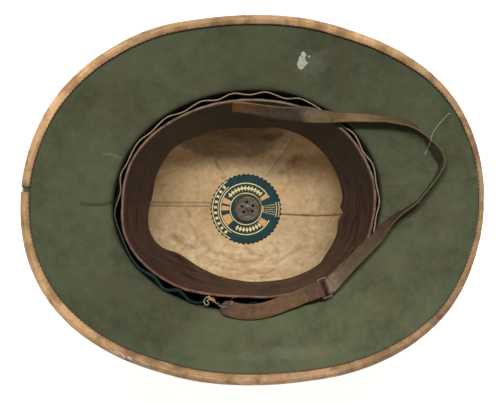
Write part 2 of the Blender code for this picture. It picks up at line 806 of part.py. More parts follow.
def build_chape(place):
    """Short leather strip folded round the buckle's bar, over the end of the short strap."""
    radius = BUCKLE_WIRE * 0.5 + GAP + CHAPE_WALL * 0.5
    away, over = place.away, place.over
    bar = place.short_bar
    stations = [Station(bar + over * radius + away * CHAPE_LENGTH, over)]
    for degrees in (90, 45, 0, -45, -90):
        angle = math.radians(degrees)
        out = over * math.sin(angle) - away * math.cos(angle)
        stations.append(Station(bar + out * radius, out))
    stations.append(Station(bar - over * radius + away * CHAPE_LENGTH, -over))
    leather = finish("chape_leather", (0.22, 0.12, 0.08), 0.55)
    return strap_solid("buckle_chape", stations, STRAP_WIDTH, CHAPE_WALL, leather)


def build_long_strap(place, leather):
    """Long half of the chin strap: over one bar of the buckle and under the chape."""
    up = Vector((0, 0, 1))
    bar_clear = BUCKLE_WIRE * 0.5 + GAP + STRAP_WALL * 0.5
    chape_clear = BUCKLE_WIRE * 0.5 + 2.0 * GAP + CHAPE_WALL + STRAP_WALL * 0.5
    drop_angle = math.asin((bar_clear + chape_clear) / (BUCKLE_LENGTH - BUCKLE_WIRE))
    slope = drop_angle - BUCKLE_TILT
    lifted = up * math.cos(slope) - place.level * math.sin(slope)
    top = place.long_bar + up * bar_clear
    tail = place.short_bar - place.over * chape_clear
    rows = band_stations(LONG_STRAP_START) + strap_stations(LONG_STRAP_ROUTE)
    rows.append(Station(top + up * GAP + place.level * BUCKLE_APPROACH, -up))
    stations = smooth_stations(rows, STRAP_STEP)
    stations.append(Station(top, -(up + lifted)))
    stations.append(Station(place.long_bar + lifted * bar_clear, -lifted))
    stations.append(Station(place.short_bar - lifted * chape_clear, -lifted))
    stations.append(Station(tail, -place.over))
    stations.append(Station(tail + place.away * STRAP_TAIL, -place.over))
    return strap_solid("chin_strap_long", stations, STRAP_WIDTH, STRAP_WALL, leather)


def build_short_strap(place, leather):
    """Short half of the chin strap, from its rounded end to the plies of the chape."""
    start = place.short_bar + place.away * (BUCKLE_WIRE * 0.5 + GAP)
    rows = strap_stations(SHORT_STRAP_ROUTE)
    rows.append(Station(start + place.away * (CHAPE_LENGTH + CHAPE_LEAD), place.over))
    stations = round_start(smooth_stations(rows, STRAP_STEP), STRAP_WIDTH)
    stations.append(Station(start, place.over))
    return strap_solid("chin_strap_short", stations, STRAP_WIDTH, STRAP_WALL, leather)


def build_hook():
    """Small leather tab that ties the short strap to the rim."""
    leather = finish("hook_leather", (0.45, 0.28, 0.13), 0.6)
    stations = smooth_stations(strap_stations(HOOK_ROUTE), HOOK_STEP)
    return strap_solid("strap_hook", stations, HOOK_WIDTH, HOOK_WALL, leather)


def clear_scene():
    for obj in list(bpy.data.objects):
        bpy.data.objects.remove(obj, do_unlink=True)


def main():
    clear_scene()
    faces = hat_faces()
    build_shell(faces)
    build_linings(faces)
    build_binding(faces)
    band_back = build_sweatband(band_rings())
    build_spacer(faces, band_back)
    build_label()
    build_vent_disc()
    build_vent_cap()
    place = buckle_place()
    build_buckle(place)
    build_chape(place)
    leather = finish("strap_leather", (0.30, 0.20, 0.12), 0.6)
    build_long_strap(place, leather)
    build_short_strap(place, leather)
    build_hook()


main()
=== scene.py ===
# A pith helmet that lies upside down, dressed with its cloth, leather, metal and straps.
# Lengths are in metres in the model's own frame: +X runs to the back of the brim and +Z out of
# the hollow.
import json
from functools import partial
from math import asin, atan2, cos, pi, radians, sin, tau
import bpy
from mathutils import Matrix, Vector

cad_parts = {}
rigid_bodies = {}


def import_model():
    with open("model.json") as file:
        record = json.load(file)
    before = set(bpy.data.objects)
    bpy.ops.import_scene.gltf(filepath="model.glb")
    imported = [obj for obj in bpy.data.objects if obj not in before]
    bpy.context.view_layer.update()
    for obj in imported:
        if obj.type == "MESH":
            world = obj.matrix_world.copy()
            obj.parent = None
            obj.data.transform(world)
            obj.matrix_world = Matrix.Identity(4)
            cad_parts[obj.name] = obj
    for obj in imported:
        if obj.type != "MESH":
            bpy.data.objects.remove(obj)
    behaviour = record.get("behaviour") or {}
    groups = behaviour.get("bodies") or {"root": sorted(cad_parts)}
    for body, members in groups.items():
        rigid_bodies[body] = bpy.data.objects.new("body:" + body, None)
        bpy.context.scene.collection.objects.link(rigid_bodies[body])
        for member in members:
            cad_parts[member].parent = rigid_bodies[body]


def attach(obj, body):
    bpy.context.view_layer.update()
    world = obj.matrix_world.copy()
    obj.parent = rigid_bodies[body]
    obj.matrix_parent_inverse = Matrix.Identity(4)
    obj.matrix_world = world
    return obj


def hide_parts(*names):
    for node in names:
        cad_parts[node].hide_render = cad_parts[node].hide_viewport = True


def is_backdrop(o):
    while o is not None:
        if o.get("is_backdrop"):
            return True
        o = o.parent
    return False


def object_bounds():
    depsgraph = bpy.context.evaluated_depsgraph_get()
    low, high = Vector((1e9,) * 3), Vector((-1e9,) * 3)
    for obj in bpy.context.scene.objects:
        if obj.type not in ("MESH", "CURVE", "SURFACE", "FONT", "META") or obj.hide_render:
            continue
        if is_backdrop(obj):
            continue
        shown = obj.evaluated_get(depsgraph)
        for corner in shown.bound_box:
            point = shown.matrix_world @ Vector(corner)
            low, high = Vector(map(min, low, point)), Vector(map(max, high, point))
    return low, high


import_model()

from types import SimpleNamespace
from typing import NamedTuple

import bmesh
import bpy
import numpy as np
from bpy.props import FloatProperty, FloatVectorProperty, IntProperty, PointerProperty
from bpy.types import NodeSocket, Operator, Panel, PropertyGroup
from mathutils import Matrix, Vector, noise
from numpy.linalg import norm

bl_info = {
    "name": "Pith helmet",
    "version": (1, 0, 0),
    "blender": (4, 5, 0),
    "location": "View3D > Sidebar > Helmet",
    "description": "Dresses an upturned pith helmet with cloth, leather, metal and straps",
    "category": "Object",
}

CAD_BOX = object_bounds()
MM = 0.001
ROUND = 480
WHOLE = np.arange(ROUND) * 360.0 / ROUND
UP = Vector((0, 0, 1))

# Shape of the brim and of the moulded break between brim and crown
BRIM_SQUARENESS = 2.19
BRIM_BOWL = 0.12
BREAK_TURN = radians(62)
JOINT_DEG = 177.6
SPACER_SLANT = 1.35
HOLE_ANGLES = (22, 96, 165, 227, 325)
# Where the sweatband's ends meet, in degrees
BAND_SEAM_DEG = 178.6
# Degrees where the winding strip is folded double, how far that reaches, and its extra thickness
FOLD_DEG, FOLD_WIDTH, FOLD_SWELL = 232, 24, 1.3
# Strength, place and reach in degrees of the pale scuffs on the binding
BINDING_SCUFFS = ((0.8, 238, 4), (0.45, 250, 7), (0.3, 268, 5))
# Millimetres over the crown's top where painted shade turns its lining dark up behind the
# sweatband, and over which it does so
LINING_SHADE_FROM, LINING_SHADE_OVER = 33, 16

# The buckle's place and the way it lies
BUCKLE_DEG = 306.2
BUCKLE_OUT = -0.118
BUCKLE_HEADING = radians(20)
BUCKLE_TILT = radians(20)
STRAP_SKEW = radians(24)
CHAPE_DROP = radians(10)

# Degrees round the hat, and the share of the named radius there
BRIM_OUTLINE = (
    (0, 1.008), (17, 1.012), (35, 1.019), (52, 1.014), (67, 1.01), (79, 1.019), (90, 1.019),
    (101, 1.013), (113, 1.018), (128, 1.007), (145, 1.001), (163, 0.998), (180, 1.007),
    (197, 1.014), (215, 1.015), (232, 1.007), (247, 0.999), (259, 1.004), (270, 1.005),
    (281, 1.003), (293, 1.012), (308, 1.018), (325, 1.017), (343, 1.005),
)
# Share of the binding's full width over the brim
BINDING_REACH = (
    (0, 0.13), (17, 0.3), (35, 0.5), (52, 0.74), (67, 0.78), (80, 0.75), (90, 0.74), (101, 0.7),
    (113, 0.77), (128, 0.76), (145, 0.75), (163, 0.64), (180, 0.6), (197, 0.76), (215, 0.92),
    (232, 0.96), (247, 1.02), (260, 1), (270, 0.94), (281, 0.91), (293, 0.92), (308, 0.79),
    (325, 0.56), (343, 0.34),
)
# How the binding's leather has faded or darkened, as a share of its colour
BINDING_FADE = (
    (0, 0.87), (35, 0.86), (65, 1.28), (90, 1), (115, 1), (144, 1.7), (165, 1.25), (182, 0.96),
    (216, 1.36), (245, 0.86), (270, 1), (300, 0.95), (324, 0.73),
)
# How pale the winding strip's cut edge is, and how far its foot leans out, in millimetres
STRIP_PALENESS = (
    (0, 1), (150, 1), (165, 0.8), (182, 0.35), (200, 0.08), (300, 0.1), (322, 0.6), (345, 1),
)
STRIP_LEAN = ((0, 0), (150, 0), (170, 2.5), (190, 4), (235, 4), (255, 1.5), (300, 0))
# Darkening of the brim's cloth round the hat, and painted shade on the crown's lining and the
# sweatband
# The brim's darkening is strongest at the upper right and the lower left, and least towards -Y
BRIM_DARKENING = (
    (0, 0.12), (30, 0.2), (60, 0.27), (90, 0.22), (125, 0.16), (155, 0.17), (180, 0.14),
    (205, 0.22), (222, 0.33), (240, 0.26), (262, 0.06), (300, 0), (330, 0.06),
)
# Painted shade round the crown's lining, as shares of darkening
CROWN_PAINTED_SHADE = (
    (0, 0.1), (45, 0), (90, 0.08), (135, 0), (180, 0.17), (225, 0.08), (262, 0), (285, 0),
    (325, 0.2),
)
# The band's painted shade is darkest towards +Y, where its face looks away from the key light
BAND_PAINTED_SHADE = (
    (0, 0.45), (45, 0.63), (90, 0.71), (135, 0.6), (180, 0.46), (225, 0.38), (262, 0), (290, 0),
    (325, 0.25),
)
# The edge of the sweatband's shadow painted across the crown's lining, in plan in millimetres
BAND_SHADOW_EDGE = ((-60, 52), (-49, 48), (-40, 44), (-18, 42.6), (2, 43.5), (19, 47.5), (40, 60))
# Where the rim's leather is rubbed to orange tan
RIM_RUBS = (
    (0, 0.1), (60, 0.2), (105, 0.35), (125, 0.75), (145, 0.5), (165, 0.15), (195, 0.9),
    (215, 0.35), (240, 0.8), (262, 0.5), (285, 0.1), (330, 0.1),
)
OPENING_OUTLINE = (
    (0, 0.99), (28, 1.01), (60, 1.025), (75, 1.03), (90, 1.015), (120, 1), (165, 1.003),
    (195, 1.02), (230, 1.02), (260, 1), (300, 1), (340, 0.985),
)
RIM_OUTLINE = (
    (0, 0.964), (15, 0.975), (30, 0.992), (45, 1.024), (70, 1.04), (100, 1.034), (120, 1.022),
    (150, 1.008), (180, 0.985), (200, 1.024), (220, 1.035), (240, 1.021), (250, 0.991),
    (267, 0.96), (280, 0.977), (310, 0.987), (335, 0.982), (350, 0.963),
)
DEEP_EDGE_FOLDS = (
    (4, 0.935), (22, 0.95), (46, 1.015), (60, 1.045), (74, 1.045), (86, 1.005), (99, 1.02),
    (118, 1.037), (135, 1.053), (146, 1.026), (155, 1.007), (173, 0.976), (188, 1.019),
    (201, 1.057), (213, 1.04), (223, 0.955), (240, 0.97), (257, 1), (276, 1.024), (294, 1.05),
    (311, 1.052), (321, 1.002), (336, 0.958), (347, 0.915), (353, 0.94), (358, 0.91),
)
# 0 touches the sweatband, 1 touches the shell's lining
SPACER_FOLDS = (
    (0, 0.7), (10, 0), (20, 0.65), (30, 0), (39, 0.75), (48, 0.1), (67, 0.95), (75, 0.35),
    (83, 0.9), (90, 0.45), (97, 0.85), (104, 0.2), (111, 0.7), (120, 0.1), (128, 0.7), (138, 0.2),
    (146, 0.7), (158, 0.2), (165, 0.6), (174, 0), (187, 0.8), (200, 0.3), (216, 0.9), (225, 0.15),
    (232, 1), (238, 0.1), (245, 1), (254, 0.4), (263, 1), (272, 0.3), (281, 1), (291, 0.2),
    (301, 0.9), (311, 0.1), (321, 0.8), (331, 0), (341, 0.7), (351, 0.1),
)
# Height in the crown, and shares of the opening's half length and half width
CROWN_LEVELS = (
    (0.035, 0.46, 0.51), (0.12, 0.63, 0.66), (0.25, 0.77, 0.785), (0.42, 0.88, 0.885),
    (0.62, 0.95, 0.95), (0.82, 0.99, 0.99),
)
# Share of the way out over the brim, and of the taper of its wall
BRIM_LINES = ((0.14, 0.25), (0.36, 0.6), (0.6, 1), (0.82, 1), (1, 1))


# Degrees round the hat, stand-off from the rim in strap walls, the way its face looks up,
# and how far it has slipped down inside the rim in shares of its width
LONG_STRAP_START = (
    (98, 0.2, 30, 0), (91, 1.2, 36, 0.14), (84, 2.1, 42, 0.24), (76, 2.3, 48, 0.24),
    (69, 1.7, 52, 0.1),
)
# Over the brim: degrees round the hat, share of the way out, lift in strap widths and roll
LONG_STRAP_ROUTE = (
    (61.6, -0.285, 0.2, 12), (54.9, -0.207, 0.38, -25), (48.7, -0.082, 0.46, -50),
    (43.8, 0.051, 0.7, -56), (39.5, 0.176, 0.72, -60), (35.7, 0.301, 0.72, -65),
    (31.9, 0.41, 0.7, -64), (28.3, 0.488, 0.7, -72), (23.8, 0.53, 0.68, -94),
    (19.7, 0.568, 0.65, -112), (16, 0.604, 0.64, -118), (12.9, 0.62, 0.66, -108),
    (9.8, 0.578, 0.7, -96), (6, 0.483, 0.74, -92), (2.6, 0.395, 0.74, -90), (-0.9, 0.3, 0.74, -92),
    (-4.4, 0.18, 0.7, -98), (-8.5, 0.082, 0.68, -110), (-13.2, 0.015, 0.58, -124),
    (-20.1, -0.04, 0.46, -140), (-28, -0.095, 0.42, -145), (-36, -0.124, 0.42, -146),
    (-43, -0.13, 0.46, -156),
)
SHORT_STRAP_ROUTE = (
    (257.5, -0.13, 0.19, 0), (262, -0.112, 0.19, 0), (267, -0.09, 0.19, 0), (273, -0.085, 0.2, 0),
    (280.3, -0.115, 0.21, 0), (287.5, -0.15, 0.23, 0), (293, -0.155, 0.26, 0),
)
HOOK_ROUTE = (
    (250.2, -0.245, 0.1, -20), (251.4, -0.222, 0.14, 0), (252.9, -0.218, 0.15, 10),
    (254.3, -0.185, 0.12, 25),
)

# Share of a strap's run, and its colour there: wear, and painted shade where it lies inside the
# band and round its bend
LONG_STRAP_WEAR_AND_SHADE = (
    (0, "8A5E32"), (0.035, "725234"), (0.06, "5A4632"), (0.12, "473A2E"), (0.165, "4C3E30"),
    (0.2, "5E4A30"), (0.24, "665236"), (0.3, "8E724A"), (0.36, "6E5A42"), (0.42, "5C4A38"),
    (0.47, "3C382A"), (0.54, "3E3A2A"), (0.6, "4A4030"), (0.72, "483A2C"), (0.82, "544432"),
    (1, "605040"),
)
# The same by millimetres from its end under the chape: painted shade there and in the buckle's
# slot, then a painted highlight where it rolls over the bar
STRAP_END_SHADE_AND_HIGHLIGHT = (
    (0, "1A1410"), (17.6, "1A1410"), (18.8, "5C4E40"), (20.8, "8A765E"), (24, "786450"),
    (31, "644E38"),
)
SHORT_STRAP_TONES = ((0, "45332E"), (0.1, "583E2A"), (0.5, "68482C"), (1, "66502E"))

# The label's print, in millimetres and degrees: its height over the cloth and its own height
PRINT_LIFT, PRINT_WALL = 0.16, 0.3
# Two radii and two angles of each ring and bar, and of each worn block
PRINT_LINES = (
    (13.2, 13.9, 0, 360), (21.6, 22.4, 26, 334), (23.6, 24.1, 128, 238), (28.2, 28.9, 124, 242),
    (14.4, 15, -12, 10), (25.8, 26.4, -15, 13), (28, 28.6, -14, 12),
)
PRINT_BLOCKS = (
    (14.3, 21, 152, 166), (14.3, 21, 172, 184), (14.5, 21, 196, 222), (15, 22, 27, 38),
    (14.8, 21.2, 314, 330),
)
# Count, two radii, first angle, step and width of each row of bars
PRINT_BARS = ((10, 24.9, 27.4, 133, 10.4, 4.5), (5, 15.8, 24.8, -11.5, 5, 0.9))
# Count, first angle, half height and half width of each row of lozenges on their ring
LOZENGES = ((11, 46, 2.4, 1.15), (11, 50.6, 1, 0.6), (8, 245, 2.4, 1.3))
LOZENGE_RADIUS, LOZENGE_STEP = 17.8, 9.2


class Mark(NamedTuple):
    """A line drawn on a lining, in plan in millimetres: half its width, depth and darkness."""
    points: tuple
    width: float
    depth: float
    dark: float


# Seams, and crumpled folds (the wider marks from (-62, -24) on), whose darkness is painted shade in
# their hollows
CROWN_SEAMS_AND_SHADED_FOLDS = (
    Mark(((-86, 3.4), (-66, 4), (-49, 4.4), (-30, 4.5)), 0.7, 0.25, 0.55),
    Mark(((-86, 0.6), (-66, 1.2), (-49, 1.5), (-30, 1.4)), 0.7, 0.25, 0.55),
    Mark(((27, -5), (45, -6.2), (58, -7), (69.5, -6.8), (82, -6.4)), 0.6, 0.7, 0.95),
    Mark(((45.7, -6.1), (52.1, -6.5)), 1, 0.4, 0.9),
    Mark(((16.5, 27.7), (25.1, 39.2), (33.3, 50.4), (38, 57)), 0.8, 0.35, 0.32),
    Mark(((18.6, 26.2), (27.2, 37.7), (35.4, 48.9), (40, 55)), 0.6, 0.2, 0.2),
    Mark(((-18.4, 25.7), (-24.4, 35.8), (-31.3, 45.6), (-36, 52)), 0.8, 0.25, 0.22),
    Mark(((13.2, -33.3), (19.1, -42.8), (24.8, -51.8), (30, -60)), 0.8, 0.3, 0.16),
    Mark(((-16.7, -28.2), (-26.9, -42.8), (-35.3, -53.1)), 0.8, 0.25, 0.2),
    Mark(((-53.3, -0.9), (-50.6, -3.5), (-49.1, -7.5)), 0.9, 0.25, 0.5),
    Mark(((-26.8, 38.8), (-24.4, 33.8)), 1, 0.3, 0.6),
    Mark(((-62, -24), (-54, -31), (-46, -33.5)), 1.2, 0.35, 0.3),
    Mark(((-30, -47), (-18, -51), (-4, -50), (10, -54)), 1.4, 0.45, 0.2),
    Mark(((-40, -40), (-26, -46), (-10, -44), (6, -47)), 1.2, 0.35, 0.12),
    Mark(((28, -44), (40, -36), (50, -33)), 1.2, 0.3, 0.2),
    Mark(((-22, -38), (-14, -43), (-4, -46), (6, -44)), 1.8, 0.55, 0.28),
    Mark(((-8, -57), (4, -53), (16, -56), (26, -51)), 1.7, 0.55, 0.25),
    Mark(((20, -30), (26, -38), (25, -46)), 1.5, 0.45, 0.2),
    Mark(((-38, -28), (-30, -37), (-16, -41), (-6, -40)), 1.6, 0.5, 0.25),
    Mark(((-2, -33), (5, -39), (15, -41), (22, -38)), 1.4, 0.4, 0.22),
    Mark(((-50, -12), (-44, -20), (-42, -28)), 1.3, 0.35, 0.2),
    Mark(((30, 14), (36, 22), (34, 30)), 1.3, 0.35, 0.18),
)
# Plan place in millimetres, half length, half width, turn in degrees and strength
CROWN_STAINS = (
    (39.5, 39.5, 8, 4.5, 38, 0.85), (29.5, 31.5, 4.5, 3, 20, 0.6), (45.6, 50.7, 6, 3.5, 0, 0.35),
    (19, 58.5, 9, 4, 10, 1), (26, 60.5, 5, 2.2, 25, 1), (-13, 60, 8, 1.6, 0, 0.8),
    (-14.2, 52.4, 4.5, 3, 0, 0.6), (-20.4, 25.7, 1.8, 1.4, 0, 0.7), (61.3, 23.3, 7, 4, 60, 0.3),
    (31.7, -9.4, 3, 1.5, 0, 0.45), (10.6, -42.8, 5, 3, 35, 0.45), (12.3, -59.4, 4, 1.8, 0, 0.5),
    (-60.8, -26, 7, 4, -40, 0.3), (-46.4, -33.5, 6, 3.5, 10, 0.35), (-20, 56, 30, 12, 4, 0.42),
    (12, 52, 24, 14, 0, 0.4), (-45, 40, 12, 8, 30, 0.25), (52, 8, 5, 4, 0, 0.12),
    (46, -27, 8, 5, 70, 0.15), (-70, 12, 10, 14, 0, 0.15), (-32.9, -36, 5, 2, 20, 0.3),
    (2, -38, 10, 5, 0, 0.15),
)
BRIM_FOLDS = (
    Mark(((-132, -2.2), (-124, -2.8), (-118, -2.9), (-114, -2.1), (-109, -0.6)), 1.1, 0.9, 0.8),
    Mark(((106, 11.7), (132, 13.3), (154, 15), (171, 15.1)), 0.8, 0.25, 0.22),
)
BRIM_SCRATCHES = (
    Mark(((-115, 37), (-108.6, 36.6), (-101.7, 33.9)), 0.7, 0, 0.9),
    Mark(((-111, 37.7), (-104, 35.8)), 0.5, 0, 0.6),
)
PAINT_OUTLINE = (
    (39.6, 115.6), (40.4, 116.6), (41.7, 116.5), (43.4, 114.3), (42.6, 111.9), (43.3, 109.6),
    (45, 108.4), (43.4, 106.8), (42, 105.2), (40.6, 103.8), (38.4, 103.7), (37.2, 105.2),
    (36.4, 107.8), (37.4, 110.4), (37.5, 112.4), (38.9, 113.6),
)
PAINT_DOTS = ((45.6, 113, 0.9),)
# Plan place, half length, half width, turn and strength of the brim's dusty and soiled patches
BRIM_DUST = (
    (47, 107, 12, 9, 20, 0.3), (34, 114, 6, 5, 0, 0.16), (176, 22, 3.5, 8, 0, 0.6),
    (178, 8, 3, 9, 0, 0.4), (171, 40, 4, 8, 20, 0.25), (-60, -38, 8, 14, 20, 0.2),
    (-74, -22, 10, 16, 0, 0.15), (30, -118, 40, 5, 4, 0.2),
)
BRIM_RUST = (
    (38.5, 99.5, 3.2, 3, 0, 0.55), (32, 103, 4, 2.5, 30, 0.25), (134, -90, 6, 2, 40, 0.35),
)
LOOSE_THREAD = (
    (153.5, 66.8), (152.1, 66.3), (148.1, 62), (144.3, 57.6), (141.8, 53.9), (140.4, 50.9),
    (138.6, 46.6), (137.9, 43.1), (136.9, 39.5), (135.2, 35.7),
)
STRAP_THREAD = ((138.3, 7.7), (134.9, 3.9), (132.7, 0.8), (130.8, -2.5))
# Thread ends at the hook, as points in millimetres
HOOK_LOOP = (
    (-32.4, -75.2, 135.4), (-34, -74.9, 135.6), (-35.6, -76.2, 134.8), (-36.4, -78.4, 134),
    (-35.2, -80.6, 134.6), (-33.4, -80.9, 135.2), (-32.8, -79.2, 135.8), (-33.8, -77.6, 136.2),
    (-32.2, -76.6, 136), (-30.8, -77.4, 135.6),
)
HOOK_THREAD = (
    (-28, -78.6, 135.6), (-26.4, -79.8, 135.8), (-25.2, -80.2, 136.2), (-24.4, -81.6, 136.2),
    (-22.8, -82, 136.8), (-21.6, -83.2, 136.4), (-20.2, -82.9, 136.8), (-18.6, -82.2, 137.2),
)
HOOK_TIE = (
    (-13.6, -75.2), (-14.4, -76.4), (-14.8, -77.6), (-14.2, -78.8), (-14.9, -80.2), (-14.6, -81),
)


def linear(code):
    """An sRGB hex colour as linear red, green and blue."""
    parts = [int(code[i:i + 2], 16) / 255 for i in (0, 2, 4)]
    return tuple(c / 12.92 if c <= 0.04045 else ((c + 0.055) / 1.055) ** 2.4 for c in parts)


def size(name, description, mm):
    return FloatProperty(name=name, description=description, default=mm * MM, unit="LENGTH",
                         precision=4)


def colour(name, description, code):
    return FloatVectorProperty(name=name, description=description, default=linear(code),
                               subtype="COLOR", size=3, min=0.0, max=1.0)


class HELMET_PG_shell(PropertyGroup):
    """Sizes of the moulded shell, its linings and the binding of its edge."""
    gap: size("Gap", "Clearance between neighbouring pieces", 0.3)
    opening_length: size("Opening length", "Half length of the head opening", 107)
    opening_width: size("Opening width", "Half width of the head opening", 88)
    opening_shift: size("Opening shift", "Shift of the opening along X", -1.5)
    crown_depth: size("Crown depth", "Depth of the crown below the brim", 117)
    crown_wall: size("Crown wall", "Thickness of the moulded crown", 5)
    brim_length: size("Brim length", "Half length of the brim", 174)
    brim_width: size("Brim width", "Half width of the brim", 139.4)
    brim_shift: size("Brim shift", "Shift of the brim along X", 0.9)
    rise_front: size("Rise at the front", "Rise of the brim's edge at -X", 33)
    rise_back: size("Rise at the back", "Rise of the brim's edge at +X", 37)
    rise_side: size("Rise at the sides", "Rise of the brim's edge at the sides", 25)
    brim_wall: size("Brim wall", "Thickness of the brim at its edge", 3)
    break_radius: size("Break radius", "Radius between crown and brim", 5)
    lining: size("Lining", "Thickness of the cloth linings", 1)
    tuck: size("Tuck", "Depth of the brim lining inside the opening", 14)
    binding: size("Binding", "Thickness of the binding leather", 1.2)
    cover: size("Binding cover", "Width of the binding over the brim", 7)
    joint_gap: size("Joint gap", "Gap between the binding's two ends", 3.8)
    stitch: size("Stitch", "Spacing of the stitches in the binding", 3.4)
    cap_height: size("Cap height", "Height of the ventilator's cap", 8)
    cap_foot: size("Cap foot", "Radius of the cap's flat top", 22)
    cap_radius: size("Cap radius", "Radius of the cap", 26)
    spigot: size("Spigot", "Length of the cap's spigot in the bore", 3.5)
    bore: size("Bore", "Radius of the ventilator's bore", 7)


class HELMET_PG_band(PropertyGroup):
    """Sizes of the sweatband, the strip behind it, the label and the vent disc."""
    band: size("Band", "Thickness of the sweatband", 1.5)
    depth: size("Depth", "Depth of the sweatband", 42)
    gap_end: size("Gap at the ends", "Air gap of the rim at the ends of the opening", 5.5)
    gap_side: size("Gap at the sides", "Air gap of the rim at the sides of the opening", 11)
    above: size("Rim above", "Height of the rim over the break", 1.5)
    lean_end: size("Lean at the ends", "How far the deep edge leans in at the ends", 20.5)
    lean_side: size("Lean at the sides", "How far the deep edge leans in at the sides", 15.5)
    bead: size("Rim bead", "Radius of the rolled rim", 1.5)
    strip: size("Strip", "Thickness of the winding strip", 1)
    strip_width: size("Strip width", "Height of the winding strip", 12)
    strip_below: size("Strip below rim", "Height of the rim over the strip", 0.8)
    label: size("Label radius", "Radius of the label over its teeth", 30.5)
    label_wall: size("Label wall", "Thickness of the label", 1)
    tooth: size("Tooth", "Depth of the label's pinked teeth", 1.4)
    label_x: size("Label X", "Shift of the label along X", -1.3)
    label_y: size("Label Y", "Shift of the label along Y", -0.8)
    teeth: IntProperty(name="Teeth", description="Teeth round the label", default=46, min=12)
    disc: size("Disc radius", "Radius of the vent disc", 12)
    disc_wall: size("Disc wall", "Thickness of the vent disc", 1.2)
    hole: size("Hole radius", "Radius of the disc's holes", 1.25)
    hole_circle: size("Hole circle", "Radius of the circle of holes", 5)


class HELMET_PG_straps(PropertyGroup):
    """Sizes of the chin strap, its buckle and its hook."""
    width: size("Strap width", "Width of the chin strap", 12.2)
    wall: size("Strap wall", "Thickness of the chin strap", 1.6)
    buried: size("Buried depth", "Depth of the strap's start below the rim", 7)
    tail: size("Tail", "Length of the strap under the short strap", 13)
    wire: size("Wire", "Thickness of the buckle's wire", 1.6)
    buckle: size("Buckle length", "Length of the buckle along the strap", 9.5)
    above: size("Buckle height", "Height of the buckle over the rim", 5.6)
    approach: size("Approach", "Straight run of the strap before the buckle", 4.5)
    chape: size("Chape wall", "Thickness of the chape", 1.3)
    chape_length: size("Chape length", "Length of the chape's plies", 10.5)
    chape_lead: size("Chape lead", "Straight run of the short strap before the chape", 3)
    hook: size("Hook width", "Width of the tying tab", 2.4)
    hook_wall: size("Hook wall", "Thickness of the tying tab", 1.4)


class HELMET_PG_colours(PropertyGroup):
    """Colours of the cloths, leathers and metals."""
    olive: colour("Olive", "Brim lining", "5D6247")
    olive_faded: colour("Faded olive", "Rubbed and faded brim lining", "6B7053")
    olive_dirty: colour("Dirty olive", "Soiled brim lining", "4E5039")
    cream: colour("Cream", "Crown lining", "CDA97A")
    cream_light: colour("Light cream", "Rubbed crown lining", "E0C396")
    cream_dirty: colour("Stained cream", "Stains of the crown lining", "7C5A3C")
    khaki: colour("Khaki", "Cloth of the outer cover", "A89870")
    tan: colour("Tan", "Binding leather", "A67C4C")
    tan_light: colour("Light tan", "Rubbed binding leather", "D0A97C")
    tan_dark: colour("Dark tan", "Soiled binding leather", "7B5638")
    brown: colour("Brown", "Sweatband leather", "70513E")
    brown_dark: colour("Dark brown", "Greasy sweatband leather", "2A1B15")
    rim: colour("Worn rim", "Rubbed rim of the sweatband", "82705E")
    rim_rub: colour("Rubbed rim", "Rim rubbed down to the bare leather", "966A40")
    strip_edge: colour("Strip edge", "Raw edge of the winding strip", "A89672")
    strip_face: colour("Strip face", "Cloth face of the winding strip", "0E2B2B")
    teal: colour("Teal", "Ground of the label", "173A3B")
    gold: colour("Gold", "Print of the label", "E4CC86")
    orange: colour("Orange gold", "Worn blocks of the label's print", "CC9652")
    pewter: colour("Pewter", "Vent disc", "534836")
    rust: colour("Rust", "Rust on the buckle's wire", "6A4A38")
    steel: colour("Steel", "Bare wire of the buckle", "9C8C84")
    chape: colour("Chape", "Red-brown leather at the buckle", "5C3E30")
    hook: colour("Hook", "Light tan leather of the hook", "AE7A42")
    thread: colour("Thread", "Linen thread", "B9B28E")
    paint: colour("Paint", "Dried whitewash", "BEC3AC")


class HELMET_PG_stage(PropertyGroup):
    """Camera and light."""
    target: size("Target height", "Height of the point that the camera looks at", 134)
    camera_x: size("Camera X", "Place of the camera along X", -28)
    camera_y: size("Camera Y", "Place of the camera along Y", -61)
    camera_z: size("Camera Z", "Height of the camera", 1432.4)
    lens: FloatProperty(name="Lens", description="Focal length in mm on a 36 mm sensor",
                        default=119.4, min=20.0)
    key: FloatProperty(name="Key light", description="Power of the soft key light", default=40.0,
                       unit="POWER", min=0.0)
    fill: FloatProperty(name="Fill light", description="Strength of the light all round",
                        default=0.2, min=0.0)
    floor: colour("Floor", "Matt paper sweep", "F4F4F4")


class HELMET_PG_settings(PropertyGroup):
    """All the settings of the helmet."""
    shell: PointerProperty(type=HELMET_PG_shell)
    band: PointerProperty(type=HELMET_PG_band)
    straps: PointerProperty(type=HELMET_PG_straps)
    colours: PointerProperty(type=HELMET_PG_colours)
    stage: PointerProperty(type=HELMET_PG_stage)


def names_in(group):
    """The names of a property group's own values."""
    return [n for n in group.bl_rna.properties.keys() if n not in ("rna_type", "name")]


def read(group):
    """A property group's values as plain numbers and tuples."""
    values = {n: getattr(group, n) for n in names_in(group)}
    return SimpleNamespace(**{
        n: v if isinstance(v, (int, float)) else tuple(v) for n, v in values.items()})


# Curves, surfaces and meshes

